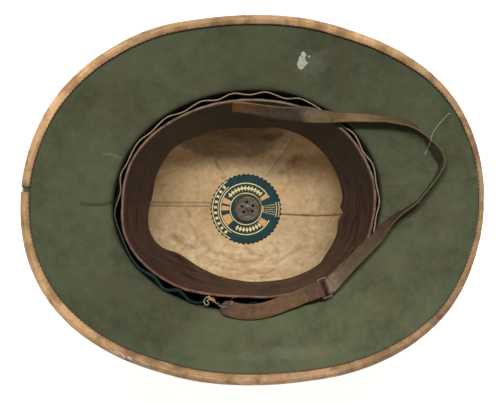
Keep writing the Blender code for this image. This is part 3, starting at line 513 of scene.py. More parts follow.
def curve(knots, values, at):
    """A smooth curve through values at rising knots, read at the places given."""
    knots, values, at = np.asarray(knots, float), np.asarray(values, float), np.asarray(at, float)
    extra = (slice(None),) + (None,) * (values.ndim - 1)
    slopes = np.empty_like(values)
    slopes[1:-1] = (values[2:] - values[:-2]) / (knots[2:] - knots[:-2])[extra]
    slopes[0] = (values[1] - values[0]) / (knots[1] - knots[0])
    slopes[-1] = (values[-1] - values[-2]) / (knots[-1] - knots[-2])
    i = np.clip(np.searchsorted(knots, at, side="right") - 1, 0, len(knots) - 2)
    span = knots[i + 1] - knots[i]
    t = (at - knots[i]) / span
    if values.ndim > 1:
        t, span = (x.reshape(x.shape + (1,) * (values.ndim - 1)) for x in (t, span))
    return (values[i] * (2 * t ** 3 - 3 * t ** 2 + 1) + slopes[i] * span * (t ** 3 - 2 * t ** 2 + t)
            + values[i + 1] * (3 * t ** 2 - 2 * t ** 3) + slopes[i + 1] * span * (t ** 3 - t ** 2))


def around(table, degrees):
    """Read a table of degrees and shares at angles round the hat."""
    turn, share = np.array(table, float).T
    knots = np.concatenate([turn - 360.0, turn, turn + 360.0])
    return curve(knots, np.tile(share, 3), np.mod(degrees, 360.0))


def place(x, y, z=0.0):
    return np.stack(np.broadcast_arrays(x, y, z), axis=-1).astype(float)


def unit(vectors):
    return vectors / norm(vectors, axis=-1, keepdims=True)


def ramp(value):
    """A value kept between 0 and 1."""
    return np.clip(value, 0.0, 1.0)


def measured(points):
    """The length of a line up to each of its points."""
    return np.concatenate([[0.0], np.cumsum(norm(np.diff(points, axis=0), axis=1))])


def turns(count):
    """This many angles in even steps round a full turn."""
    return np.linspace(0, tau, count, endpoint=False)


def between(at, knots, values):
    """Rows of values read in straight lines between rising knots."""
    return np.stack([np.interp(at, knots, column) for column in np.transpose(values)], axis=-1)


def tones(table, at):
    """Colours of a short table of shares and hex codes, in linear light."""
    shares = [row[0] for row in table]
    return between(at, shares, [linear(row[1]) for row in table])


def lumps(points, mm, seed=0.0):
    """Smooth noise from about -1 to 1 at points, with features of this many millimetres."""
    flat = points.reshape(-1, 3) / (mm * MM) + seed
    return np.array([noise.noise(p) for p in flat.tolist()]).reshape(points.shape[:-1])


def drawn(points, marks, value):
    """The strongest of some marks at each point; value is the field of a mark to draw."""
    flat = points[..., :2].reshape(-1, 2)
    result = np.zeros(len(flat))
    for mark in marks:
        line = np.array(mark.points) * MM
        near = np.full(len(flat), np.inf)
        for start, end in zip(line[:-1], line[1:]):
            run = end - start
            t = ramp((flat - start) @ run / (run @ run))
            near = np.minimum(near, norm(flat - start - t[:, None] * run, axis=1))
        strength = getattr(mark, value) * np.exp(-(near / (mark.width * MM)) ** 2)
        result = np.maximum(result, strength)
    return result.reshape(points.shape[:-1])


def stained(points, stains):
    """Soft oval stains with ragged edges, from 0 to about 1 at each point."""
    x, y = points[..., 0] / MM, points[..., 1] / MM
    ragged = lumps(points, 3.0, 7.3) + 0.6 * lumps(points, 1.3, 3.1)
    result = np.zeros(x.shape)
    for sx, sy, long, wide, turn, strength in stains:
        c, s = cos(radians(turn)), sin(radians(turn))
        u = ((x - sx) * c + (y - sy) * s) / long
        v = ((y - sy) * c - (x - sx) * s) / wide
        reach = np.sqrt(u * u + v * v) + 0.55 * ragged
        result = np.maximum(result, strength * ramp(1.35 - reach))
    return result


class Hat:
    """The hat's own surfaces, worked out from the sizes in the panel."""

    def __init__(self, settings):
        self.s = s = read(settings.shell)
        self.b = b = read(settings.band)
        self.t = read(settings.straps)
        self.crown_z = s.cap_height + s.gap + s.crown_wall
        self.break_z = self.crown_z + s.crown_depth
        self.rim_z = self.break_z + b.above
        self.face = s.gap + s.lining
        self.label_z = self.crown_z + self.face + s.gap
        self.print_z = self.label_z + b.label_wall + PRINT_LIFT * MM
        self.flat = b.label + 3.0 * MM
        self.rim_length = s.opening_length - b.gap_end
        self.rim_width = s.opening_width - b.gap_side

    def opening(self, d, length=1.0, width=1.0):
        """The head opening's outline, or a smaller one towards the crown."""
        s, a = self.s, np.radians(d)
        fade = 1.0 + (around(OPENING_OUTLINE, d) - 1.0) * max(0.0, (length - 0.6) / 0.4)
        x = s.opening_shift * length + s.opening_length * length * fade * np.cos(a)
        return place(x, s.opening_width * width * fade * np.sin(a))

    def brim(self, d):
        """The brim's outline in plan."""
        s, a, share = self.s, np.radians(d), around(BRIM_OUTLINE, d)
        power = 2.0 / BRIM_SQUARENESS
        c, n = np.cos(a), np.sin(a)
        x = s.brim_shift + s.brim_length * share * np.sign(c) * np.abs(c) ** power
        return place(x, s.brim_width * share * np.sign(n) * np.abs(n) ** power)

    def break_at(self, d, turn):
        """A point on the rounded break between crown and brim, by how far it has turned."""
        start = self.opening(d)
        point = start + unit(self.brim(d) - start) * self.s.break_radius * (1 - cos(turn))
        point[..., 2] = self.break_z - self.s.break_radius * (1 - sin(turn))
        return point

    def over_brim(self, d, out):
        """A point on the brim's upper face, 0 at the break and 1 at the edge."""
        s = self.s
        start, out = self.break_at(d, BREAK_TURN), np.asarray(out, float)
        along = np.cos(np.radians(d))
        end = np.where(along > 0, s.rise_back, s.rise_front)
        rise = s.rise_side + (end - s.rise_side) * along * along
        point = start + (self.brim(d) - start) * out[..., None]
        bowl = (1 - BRIM_BOWL) * out + BRIM_BOWL * out * out
        point[..., 2] = start[..., 2] + (self.break_z + rise - start[..., 2]) * bowl
        return point

    def rows(self, d):
        """Rings of the shell's inner face, from the bore to the brim's edge."""
        s, a = self.s, np.radians(d)
        rows = [place(r * np.cos(a), r * np.sin(a), self.crown_z)
                for r in (s.bore, 0.55 * self.flat, self.flat)]
        for height, length, width in CROWN_LEVELS:
            row = self.opening(d, length, width)
            row[:, 2] = self.crown_z + height * (self.break_z - s.break_radius - self.crown_z)
            rows.append(row)
        tuck = self.opening(d)
        tuck[:, 2] = self.break_z - s.break_radius - s.tuck
        rows.append(tuck)
        rows += [self.break_at(d, BREAK_TURN * turn) for turn in (0.0, 0.5, 1.0)]
        return np.array(rows + [self.over_brim(d, out) for out, _ in BRIM_LINES])

    def inner_face(self):
        """The shell's inner face round the whole hat, and its normals."""
        rows = self.rows(WHOLE)
        normals = facing(rows)
        # The crown's flat top looks straight up, and the last ring looks as its neighbour does
        normals[:3] = (0.0, 0.0, 1.0)
        normals[-1] = normals[-2]
        return rows, normals

    def rim(self, d):
        """The sweatband's upper edge."""
        a, share = np.radians(d), around(RIM_OUTLINE, d)
        return place(self.rim_length * share * np.cos(a), self.rim_width * share * np.sin(a),
                     self.rim_z)

    def over_band(self, d, depth):
        """The sweatband's inner face, 0 at the rim and 1 at the deep edge."""
        b, a, share = self.b, np.radians(d), around(DEEP_EDGE_FOLDS, d)
        deep = place((self.rim_length - b.lean_end) * share * np.cos(a),
                     (self.rim_width - b.lean_side) * share * np.sin(a), self.rim_z - b.depth)
        rim = self.rim(d)
        return rim + (deep - rim) * depth


FIRST_BREAK = 10
TUCK_ROW = 9


def facing(rows):
    """Unit normals of a stack of closed rings, into the hollow of the hat."""
    across = np.roll(rows, -1, axis=1) - np.roll(rows, 1, axis=1)
    return -unit(np.cross(across, np.gradient(rows, axis=0)))


def refined(rows, step):
    """More rings on smooth curves across a stack, about this far apart."""
    lengths = norm(np.diff(rows, axis=0), axis=2).mean(axis=1)
    knots = np.concatenate([[0.0], np.cumsum(lengths ** 0.5)])
    at = [np.linspace(a, b, max(1, round(length / step)), endpoint=False)
          for a, b, length in zip(knots[:-1], knots[1:], lengths)]
    return curve(knots, rows, np.concatenate(at + [knots[-1:]]))


class Run(NamedTuple):
    """Points (stations, closed profile, 3), joined round in a ring or capped at both ends."""
    grid: np.ndarray
    ring: bool


def wall(near, far):
    """A wall between two stacks of rings, closed at both of its edges."""
    return Run(np.concatenate([near, far[::-1]]).transpose(1, 0, 2), True)


def on_face(near, far, **values):
    """Values of the near stack's points, with 0 at the far stack's, as a wall orders them."""
    blank = np.zeros(far.shape[:2])
    return {key: np.concatenate([np.broadcast_to(value, near.shape[:2]), blank]).T
            for key, value in values.items()}


def placed(name, data):
    """A new object linked to the scene."""
    obj = bpy.data.objects.new(name, data)
    bpy.context.scene.collection.objects.link(obj)
    return obj


def model(name, runs, material, crisp=40, **values):
    """One mesh from runs of points, with values or colours spread over the first run."""
    vertices, faces, start = [], [], 0
    for grid, ring in runs:
        count, around_it = grid.shape[:2]
        index = start + np.arange(count * around_it).reshape(count, around_it)
        if ring:
            index = np.vstack([index, index[:1]])
        ahead = np.roll(index, -1, axis=1)
        quads = np.stack([index[:-1], ahead[:-1], ahead[1:], index[1:]], axis=-1)
        faces += quads.reshape(-1, 4).tolist()
        if not ring:
            faces += [index[0].tolist(), index[-1].tolist()]
        vertices.append(grid.reshape(-1, 3))
        start += count * around_it
    mesh = bpy.data.meshes.new(name)
    mesh.from_pydata(np.vstack(vertices).tolist(), [], faces)
    work = bmesh.new()
    work.from_mesh(mesh)
    bmesh.ops.recalc_face_normals(work, faces=work.faces)
    work.to_mesh(mesh)
    work.free()
    for key, value in values.items():
        value = np.asarray(value, np.float32)
        shape = (*runs[0].grid.shape[:2], 3)[:max(2, value.ndim)]
        value = np.broadcast_to(value, shape).reshape(start, -1)
        kind, field = "FLOAT", "value"
        if value.shape[1] == 3:
            kind, field = "FLOAT_COLOR", "color"
            value = np.append(value, np.ones((start, 1), np.float32), axis=1)
        mesh.attributes.new(key, kind, "POINT").data.foreach_set(field, value.ravel())
    mesh.materials.append(material)
    mesh.shade_smooth()
    mesh.set_sharp_from_angle(angle=radians(crisp))
    return placed(name, mesh)


def fitted(piece, slot, *nodes):
    """Fix a piece to the hat and hide the plain solids it stands for; its slot is not used."""
    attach(piece, "root")
    if nodes:
        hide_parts(*nodes)
    return piece


def turned(profile):
    """A piece turned about Z from a closed profile of radii and heights."""
    a = turns(96)
    return Run(np.stack([place(r * np.cos(a), r * np.sin(a), z) for r, z in profile], axis=1),
               True)


def tube(points, radius, sides=8, ring=False, up=None):
    """A round thread or wire along points; radius may be one value for each point."""
    points = np.asarray(points, float)
    if ring:
        run = np.roll(points, -1, axis=0) - np.roll(points, 1, axis=0)
    else:
        run = np.gradient(points, axis=0)
    run = unit(run)
    if up is None:
        side = unit(np.cross(run, (0.0, 0.0, 1.0)) + 1e-9)
        up = np.cross(side, run)
    else:
        side, up = np.cross(run, up), np.broadcast_to(up, points.shape)
    a = turns(sides)
    radius = np.broadcast_to(radius, len(points))[:, None, None]
    ring_of = side[:, None] * np.cos(a)[:, None] + up[:, None] * np.sin(a)[:, None]
    return Run(points[:, None] + ring_of * radius, ring)


def on_top(targets, x, y, lift):
    """The highest point of some pieces under a place in plan, raised a little."""
    best = -1.0
    for obj in targets:
        hit, where, _, _ = obj.ray_cast(Vector((x, y, 1.0)), -UP)
        if hit:
            best = max(best, where.z)
    if best < 0.0:
        raise RuntimeError(f"nothing lies under the place {x:.4f}, {y:.4f}")
    return np.array((x, y, best + lift))


# Materials

# Settings of the nodes that lay one colour over another, and that multiply two
TINTED = {"out": 2, "data_type": "RGBA"}
MULTIPLIED = {**TINTED, "blend_type": "MULTIPLY"}


def fill(tree, socket, value):
    """Set a socket, or link it where the value is another node's output."""
    if isinstance(value, NodeSocket):
        tree.links.new(value, socket)
    else:
        socket.default_value = (*value, 1.0) if socket.type == "RGBA" else value


def add_node(tree, kind, inputs=None, out=0, **settings):
    """Add a shader node, set or link its inputs, and give back one of its outputs."""
    made = tree.nodes.new("ShaderNode" + kind)
    for key, value in settings.items():
        setattr(made, key, value)
    for key, value in (inputs or {}).items():
        fill(tree, made.inputs[key], value)
    return made.outputs[out]


def new_material(name, **shader):
    """For a new material: a way to add nodes, its coordinates and a way to fill its shader."""
    material = bpy.data.materials.new(name)
    material.use_nodes = True
    tree = material.node_tree
    principled = tree.nodes["Principled BSDF"]

    def finish(**sockets):
        for key, value in sockets.items():
            fill(tree, principled.inputs[key.replace("_", " ")], value)
        return material

    finish(**shader)
    put = partial(add_node, tree)
    return put, put("TexCoord", out="Object"), finish


def waves(mm):
    """Scale of a wave texture whose bands lie this many millimetres apart."""
    return 0.31416 / (mm * MM)


def grains(mm):
    """Scale of a noise or cell texture whose features are this many millimetres wide."""
    return 1.0 / (mm * MM)


def shade_and_grime_darkened(put, base):
    """A colour darkened by the piece's own values: painted shade on the crown's lining and the
    sweatband, and a darkening round the brim.
    """
    soil = put("Attribute", out="Fac", attribute_name="soil")
    clean = put("MapRange", {0: soil, 3: 1.0, 4: 0.0})
    return put("Mix", {0: 1.0, 6: base, 7: clean}, **MULTIPLIED)


def cotton_drill(c):
    """Olive cotton drill glued over the brim: matt and woven, faded and dirty in patches, with
    painted shade.
    """
    put, at, finish = new_material("olive_cotton_drill", Roughness=0.92, Sheen_Weight=0.06,
                                   Sheen_Roughness=0.5, Specular_IOR_Level=0.2)
    # The real threads lie 0.5 mm apart; they are drawn 1.1 mm apart, so that they show
    warp, weft = (put("TexWave", {"Vector": at, "Scale": waves(1.1), "Distortion": 1.6,
                  "Detail": 2.0, "Detail Scale": 2.5}, out="Fac", bands_direction=way)
                  for way in "XY")
    weave = put("Math", {0: warp, 1: weft}, operation="ADD")
    broad, fine, tinge = (
        put("TexNoise", {"Vector": at, "Scale": grains(mm), "Detail": detail,
            "Roughness": rough})
        for mm, detail, rough in ((48, 4.0, 0.62), (9, 5.0, 0.7), (27, 3.0, 0.5)))
    dirt = put("MapRange", {0: broad, 1: 0.38, 2: 0.66}, interpolation_type="SMOOTHSTEP")
    rub = put("MapRange", {0: fine, 1: 0.42, 2: 0.72, 4: 0.55})
    brown = put("MapRange", {0: tinge, 1: 0.5, 2: 0.68, 4: 0.5})
    base = c.olive
    for share, tint in ((dirt, c.olive_dirty), (rub, c.olive_faded), (brown, linear("655E46"))):
        base = put("Mix", {0: share, 6: base, 7: tint}, **TINTED)
    threads = put("MapRange", {0: weave, 1: 0.0, 2: 2.0, 3: 0.90, 4: 1.08})
    base = put("Mix", {0: 1.0, 6: base, 7: threads}, **MULTIPLIED)
    # The depth value paints shade: near black where the cloth tucks into the opening, and a thin
    # shadow along the binding's edge
    for name, code in (("crease", "2C2F20"), ("scratch", "8C9078"), ("rust", "74503E"),
                       ("verge", "4F6B50"), ("depth", "101812")):
        share = put("Attribute", out="Fac", attribute_name=name)
        base = put("Mix", {0: share, 6: base, 7: linear(code)}, **TINTED)
    relief = put("Math", {0: weave, 1: fine}, operation="ADD")
    bump = put("Bump", {"Strength": 0.35, "Distance": 0.25 * MM, "Height": relief})
    return finish(Base_Color=shade_and_grime_darkened(put, base), Normal=bump)


def lining_calico(c):
    """Cream calico of the crown: a fine plain weave, sized stiff, stained and creased, with painted
    shade and highlights.
    """
    put, at, finish = new_material("cream_calico", Roughness=0.72)
    broad = put("TexNoise", {"Vector": at, "Scale": grains(30), "Detail": 5.0, "Roughness": 0.65})
    fine, blotch = (
        put("TexNoise", {"Vector": at, "Scale": grains(mm), "Detail": detail,
            "Roughness": rough, "Distortion": turn})
        for mm, detail, rough, turn in ((4, 6.0, 0.72, 0.4), (13, 5.0, 0.75, 0.8)))
    # Threads 0.35 mm apart are too fine to show; slubs of 1 mm stand for them
    slub = put("TexWave", {"Vector": at, "Scale": waves(1.0), "Distortion": 4.0,
               "Detail": 3.0, "Detail Scale": 2.0}, out="Fac", bands_direction="Y")
    light = put("MapRange", {0: broad, 1: 0.35, 2: 0.7}, interpolation_type="SMOOTHSTEP")
    blotch = put("MapRange", {0: blotch, 1: 0.45, 2: 0.72, 4: 0.42},
                 interpolation_type="SMOOTHSTEP")
    specks = put("MapRange", {0: fine, 1: 0.50, 2: 0.72, 4: 0.5})
    crest_highlight, stain, crease, depth = (put("Attribute", out="Fac", attribute_name=name)
                                   for name in ("rub", "stain", "crease", "depth"))
    # Painted highlight along the tops of the crumpled ridges
    crest_highlight = put("MapRange", {0: crest_highlight, 1: 0.2, 2: 1.2, 4: 0.7})
    base = c.cream
    for share, tint in ((light, c.cream_light), (crest_highlight, linear("F0D9AE")),
                        (blotch, linear("B4835C")), (specks, linear("A67F55"))):
        base = put("Mix", {0: share, 6: base, 7: tint}, **TINTED)
    threads = put("MapRange", {0: slub, 3: 0.95, 4: 1.04})
    base = put("Mix", {0: 1.0, 6: base, 7: threads}, **MULTIPLIED)
    mottled = put("MapRange", {0: fine, 1: 0.3, 2: 0.65, 3: 0.35, 4: 1.0})
    stain = put("Math", {0: stain, 1: mottled}, operation="MULTIPLY")
    # Real stains; darker lines along the seams, which on the folds are painted shade; and near
    # black painted shade up behind the sweatband, with its shine taken away
    for share, tint in ((stain, c.cream_dirty), (crease, linear("4E3A28")),
                        (depth, linear("171711"))):
        base = put("Mix", {0: share, 6: base, 7: tint}, **TINTED)
    shine = put("MapRange", {0: depth, 3: 0.35, 4: 0.0})
    relief = put("Math", {0: slub, 1: fine}, operation="ADD")
    bump = put("Bump", {"Strength": 0.45, "Distance": 0.35 * MM, "Height": relief})
    return finish(Base_Color=shade_and_grime_darkened(put, base), Specular_IOR_Level=shine, Normal=bump)


def khaki_drill(c):
    """Khaki cotton drill over the pith: matt, tightly woven, with a little dust."""
    put, at, finish = new_material("khaki_cotton_drill", Roughness=0.9, Sheen_Weight=0.2,
                                   Specular_IOR_Level=0.25)
    # The twill's 0.6 mm ribs are drawn 1.2 mm apart, so that they show
    twill = put("TexWave", {"Vector": at, "Scale": waves(1.2), "Distortion": 1.2,
                "Detail": 2.0, "Detail Scale": 2.0}, out="Fac", bands_direction="DIAGONAL")
    dust = put("TexNoise", {"Vector": at, "Scale": grains(35), "Detail": 5.0, "Roughness": 0.65})
    dust = put("MapRange", {0: dust, 1: 0.35, 2: 0.7})
    base = put("Mix", {0: dust, 6: c.khaki, 7: linear("8F815C")}, **TINTED)
    ribs = put("MapRange", {0: twill, 3: 0.9, 4: 1.05})
    base = put("Mix", {0: 1.0, 6: base, 7: ribs}, **MULTIPLIED)
    bump = put("Bump", {"Strength": 0.35, "Distance": 0.25 * MM, "Height": twill})
    return finish(Base_Color=base, Normal=bump)


def binding_leather(c):
    """Thin tan sheepskin: its polish is rubbed off, with pale scuffs, a painted shadow along its
    cut edge and one darker end.
    """
    put, at, finish = new_material("tan_sheepskin", Roughness=0.6, Specular_IOR_Level=0.4)
    along, across, fade = (put("Attribute", out="Fac", attribute_name=name)
                           for name in ("along", "across", "fade"))
    lane = put("CombineXYZ", {"X": along, "Y": across})
    streak = put("TexNoise", {"Vector": lane, "Scale": 30.0, "Detail": 5.0, "Roughness": 0.65})
    patch, spots = (
        put("TexNoise", {"Vector": at, "Scale": grains(mm), "Detail": detail,
            "Roughness": rough}) for mm, detail, rough in ((16, 4.0, 0.6), (6, 5.0, 0.75)))
    grain = put("TexVoronoi", {"Vector": at, "Scale": grains(0.9)}, out="Distance")
    light = put("MapRange", {0: streak, 1: 0.42, 2: 0.62})
    dark = put("MapRange", {0: patch, 1: 0.47, 2: 0.62, 4: 0.8})
    pink = put("MapRange", {0: patch, 1: 0.44, 2: 0.34, 4: 0.6})
    olive = put("MapRange", {0: spots, 1: 0.5, 2: 0.64, 4: 0.6})
    base = c.tan
    for share, tint in ((light, c.tan_light), (dark, c.tan_dark), (pink, linear("B98C74")),
                        (olive, linear("8E7444"))):
        base = put("Mix", {0: share, 6: base, 7: tint}, **TINTED)
    base = put("Mix", {0: 1.0, 6: base, 7: fade}, **MULTIPLIED)
    for name, code in (("scuff", "E6DAC4"), ("grime", "3A2416")):
        share = put("Attribute", out="Fac", attribute_name=name)
        base = put("Mix", {0: share, 6: base, 7: linear(code)}, **TINTED)
    relief = put("Math", {0: grain, 1: streak}, operation="ADD")
    bump = put("Bump", {"Strength": 0.4, "Distance": 0.25 * MM, "Height": relief})
    return finish(Base_Color=base, Normal=bump)


def sweatband_leather(c):
    """Dark brown sheepskin, oiled by wear: a low shine, fine streaks and a rubbed rim, with painted
    shade.
    """
    put, at, finish = new_material("oiled_sheepskin", Specular_IOR_Level=0.45)
    flat = put("Mapping", {"Vector": at, "Scale": (1.0, 1.0, 9.0)})
    streak = put("TexNoise", {"Vector": flat, "Scale": grains(24), "Detail": 6.0,
                 "Roughness": 0.7})
    patch = put("TexNoise", {"Vector": at, "Scale": grains(22), "Detail": 4.0})
    worn = put("TexNoise", {"Vector": at, "Scale": grains(7), "Detail": 5.0})
    grain = put("TexVoronoi", {"Vector": at, "Scale": grains(1.0)}, out="Distance")
    rim, rub, seam = (put("Attribute", out="Fac", attribute_name=name)
                      for name in ("rim", "rub", "seam"))
    dark = put("MapRange", {0: streak, 1: 0.36, 2: 0.66})
    red = put("MapRange", {0: patch, 1: 0.5, 2: 0.7, 4: 0.5})
    worn = put("MapRange", {0: worn, 1: 0.38, 2: 0.58, 3: 0.15, 4: 1.0})
    worn = put("Math", {0: rim, 1: worn}, operation="MULTIPLY")
    rim_tint = put("Mix", {0: rub, 6: c.rim, 7: c.rim_rub}, **TINTED)
    base = c.brown_dark
    for share, tint in ((dark, c.brown), (red, linear("4A2C28")), (worn, rim_tint),
                        (seam, linear("5A2620"))):
        base = put("Mix", {0: share, 6: base, 7: tint}, **TINTED)
    gloss = put("MapRange", {0: streak, 1: 0.3, 2: 0.7, 3: 0.42, 4: 0.62})
    relief = put("Math", {0: streak, 1: grain}, operation="ADD")
    bump = put("Bump", {"Strength": 0.35, "Distance": 0.3 * MM, "Height": relief})
    return finish(Base_Color=shade_and_grime_darkened(put, base), Roughness=gloss, Normal=bump)


def strip_cloth(c):
    """Stiffened green cloth strip, with its cut edge faded to the bare fibre."""
    put, at, finish = new_material("stiffened_cloth", Roughness=0.85, Specular_IOR_Level=0.12)
    fibre = put("TexNoise", {"Vector": at, "Scale": grains(2.5), "Detail": 5.0, "Roughness": 0.7})
    edge = put("Attribute", out="Fac", attribute_name="edge")
    dull = put("MapRange", {0: fibre, 1: 0.35, 2: 0.7, 4: 0.6})
    face, raw = (put("Mix", {0: dull, 6: tint, 7: linear(code)}, **TINTED)
                 for tint, code in ((c.strip_face, "15241F"), (c.strip_edge, "7D6A4C")))
    base = put("Mix", {0: edge, 6: face, 7: raw}, **TINTED)
    bump = put("Bump", {"Strength": 0.5, "Distance": 0.25 * MM, "Height": fibre})
    return finish(Base_Color=base, Normal=bump)


def label_cloth(c):
    """Teal leathercloth of the label: a smooth coating, dulled and cracked."""
    put, at, finish = new_material("teal_leathercloth", Roughness=0.7, Specular_IOR_Level=0.2)
    wear = put("TexNoise", {"Vector": at, "Scale": grains(6), "Detail": 6.0, "Roughness": 0.7})
    light = put("MapRange", {0: wear, 1: 0.45, 2: 0.75, 4: 0.8})
    edge = put("Attribute", out="Fac", attribute_name="edge")
    base = c.teal
    for share, code in ((light, "26484A"), (edge, "182A28")):
        base = put("Mix", {0: share, 6: base, 7: linear(code)}, **TINTED)
    bump = put("Bump", {"Strength": 0.3, "Distance": 0.2 * MM, "Height": wear})
    return finish(Base_Color=base, Normal=bump)


def gold_print(name, tint):
    """Gold leaf print on the label: worn thin, so it looks like dull yellow paint."""
    put, at, finish = new_material(name, Roughness=0.5, Metallic=0.15)
    wear = put("TexNoise", {"Vector": at, "Scale": grains(1.8), "Detail": 4.0, "Roughness": 0.7})
    bare = put("MapRange", {0: wear, 1: 0.48, 2: 0.72, 4: 0.75})
    base = put("Mix", {0: bare, 6: tint, 7: linear("6E6446")}, **TINTED)
    bump = put("Bump", {"Strength": 0.2, "Distance": 0.1 * MM, "Height": wear})
    return finish(Base_Color=base, Normal=bump)


def tarnished_pewter(c):
    """Cast pewter, tarnished dull brown-grey, brighter where it is rubbed."""
    put, at, finish = new_material("tarnished_pewter", Metallic=0.4)
    tarnish = put("TexNoise", {"Vector": at, "Scale": grains(3.5), "Detail": 6.0,
                  "Roughness": 0.7})
    pits = put("TexVoronoi", {"Vector": at, "Scale": grains(1.1)}, out="Distance")
    amount = put("MapRange", {0: tarnish, 1: 0.4, 2: 0.65})
    base = put("Mix", {0: amount, 6: c.pewter, 7: linear("3A3229")}, **TINTED)
    rough = put("MapRange", {0: tarnish, 1: 0.35, 2: 0.7, 3: 0.4, 4: 0.65})
    relief = put("Math", {0: tarnish, 1: pits}, operation="ADD")
    bump = put("Bump", {"Strength": 0.35, "Distance": 0.2 * MM, "Height": relief})
    return finish(Base_Color=base, Roughness=rough, Normal=bump)


def strap_leather(name="worn_strap_leather", tint=None):
    """Bridle leather, dry and rubbed: lengthwise fibres, cross creases and lighter edges."""
    put, at, finish = new_material(name, Roughness=0.62, Specular_IOR_Level=0.25)
    along, across, edge = (put("Attribute", out="Fac", attribute_name=value)
                           for value in ("along", "across", "edge"))
    lane = put("CombineXYZ", {"X": along, "Y": across})
    fibre, crease = (
        put("TexNoise", {"Scale": 1.0, "Detail": detail, "Roughness": rough,
            "Vector": put("Mapping", {"Vector": lane, "Scale": scale})})
        for scale, detail, rough in (((90.0, 900.0, 1.0), 4.0, 0.7),
                                     ((700.0, 60.0, 1.0), 3.0, 0.6)))
    patch = put("TexNoise", {"Vector": at, "Scale": grains(4.5), "Detail": 5.0, "Roughness": 0.75})
    tint = tint or put("Attribute", out="Color", attribute_name="tint")
    light = put("MapRange", {0: fibre, 1: 0.3, 2: 0.7, 3: 0.68, 4: 1.34})
    base = put("Mix", {0: 1.0, 6: tint, 7: light}, **MULTIPLIED)
    crack = put("MapRange", {0: crease, 1: 0.56, 2: 0.68, 4: 0.6})
    dark = put("MapRange", {0: patch, 1: 0.5, 2: 0.66, 4: 0.34})
    pale = put("MapRange", {0: patch, 1: 0.5, 2: 0.36, 4: 0.18})
    rubbed = put("MapRange", {0: patch, 1: 0.35, 2: 0.6, 3: 0.2, 4: 1.0})
    edge = put("Math", {0: edge, 1: rubbed}, operation="MULTIPLY")
    for share, code in ((crack, "3A2A20"), (dark, "4A342A"), (pale, "9A8058"), (edge, "75623F")):
        base = put("Mix", {0: share, 6: base, 7: linear(code)}, **TINTED)
    relief = put("Math", {0: fibre, 1: crease}, operation="ADD")
    bump = put("Bump", {"Strength": 0.5, "Distance": 0.3 * MM, "Height": relief})
    return finish(Base_Color=base, Normal=bump)


def rusted_wire(c):
    """Plated steel wire whose plating is rubbed off, with rust in its hollows."""
    put, at, finish = new_material("rusted_wire", Metallic=0.55)
    rust = put("TexNoise", {"Vector": at, "Scale": grains(1.6), "Detail": 6.0, "Roughness": 0.7})
    amount = put("MapRange", {0: rust, 1: 0.4, 2: 0.6})
    base = put("Mix", {0: amount, 6: c.steel, 7: c.rust}, **TINTED)
    rough = put("MapRange", {0: rust, 1: 0.35, 2: 0.65, 3: 0.38, 4: 0.8})
    bump = put("Bump", {"Strength": 0.5, "Distance": 0.15 * MM, "Height": rust})
    return finish(Base_Color=base, Roughness=rough, Normal=bump)


def linen_thread(name, tint):
    """Waxed linen thread: matt, twisted from plies."""
    put, at, finish = new_material(name, Roughness=0.8, Sheen_Weight=0.2)
    ply = put("TexWave", {"Vector": at, "Scale": waves(0.6), "Distortion": 2.0},
              out="Fac", bands_direction="DIAGONAL")
    shade = put("MapRange", {0: ply, 3: 0.75, 4: 1.1})
    base = put("Mix", {0: 1.0, 6: tint, 7: shade}, **MULTIPLIED)
    bump = put("Bump", {"Strength": 0.4, "Distance": 0.1 * MM, "Height": ply})
    return finish(Base_Color=base, Normal=bump)


def dried_whitewash(c):
    """Dried whitewash on the cloth: chalky and thin at its edge."""
    put, at, finish = new_material("dried_whitewash", Roughness=0.85)
    thin = put("TexNoise", {"Vector": at, "Scale": grains(2.2), "Detail": 4.0, "Roughness": 0.7})
    amount = put("MapRange", {0: thin, 1: 0.35, 2: 0.7, 4: 0.85})
    base = put("Mix", {0: amount, 6: c.paint, 7: linear("8C937C")}, **TINTED)
    bump = put("Bump", {"Strength": 0.4, "Distance": 0.2 * MM, "Height": thin})
    return finish(Base_Color=base, Normal=bump)


def sweep_paper(c):
    """Matt white paper sweep under the hat, lit so brightly that its shadows stay faint."""
    put, at, finish = new_material("white_sweep_paper", Roughness=0.95, Specular_IOR_Level=0.1,
                                   Base_Color=c.floor, Emission_Color=(1.0, 1.0, 1.0),
                                   Emission_Strength=0.8)
    tooth = put("TexNoise", {"Vector": at, "Scale": grains(3), "Detail": 3.0})
    bump = put("Bump", {"Strength": 0.05, "Distance": 0.1 * MM, "Height": tooth})
    return finish(Normal=bump)


# Pieces

def hat_and_colours(context):
    """The hat that the panel's sizes describe, and the panel's colours."""
    return Hat(context.scene.helmet), read(context.scene.helmet.colours)


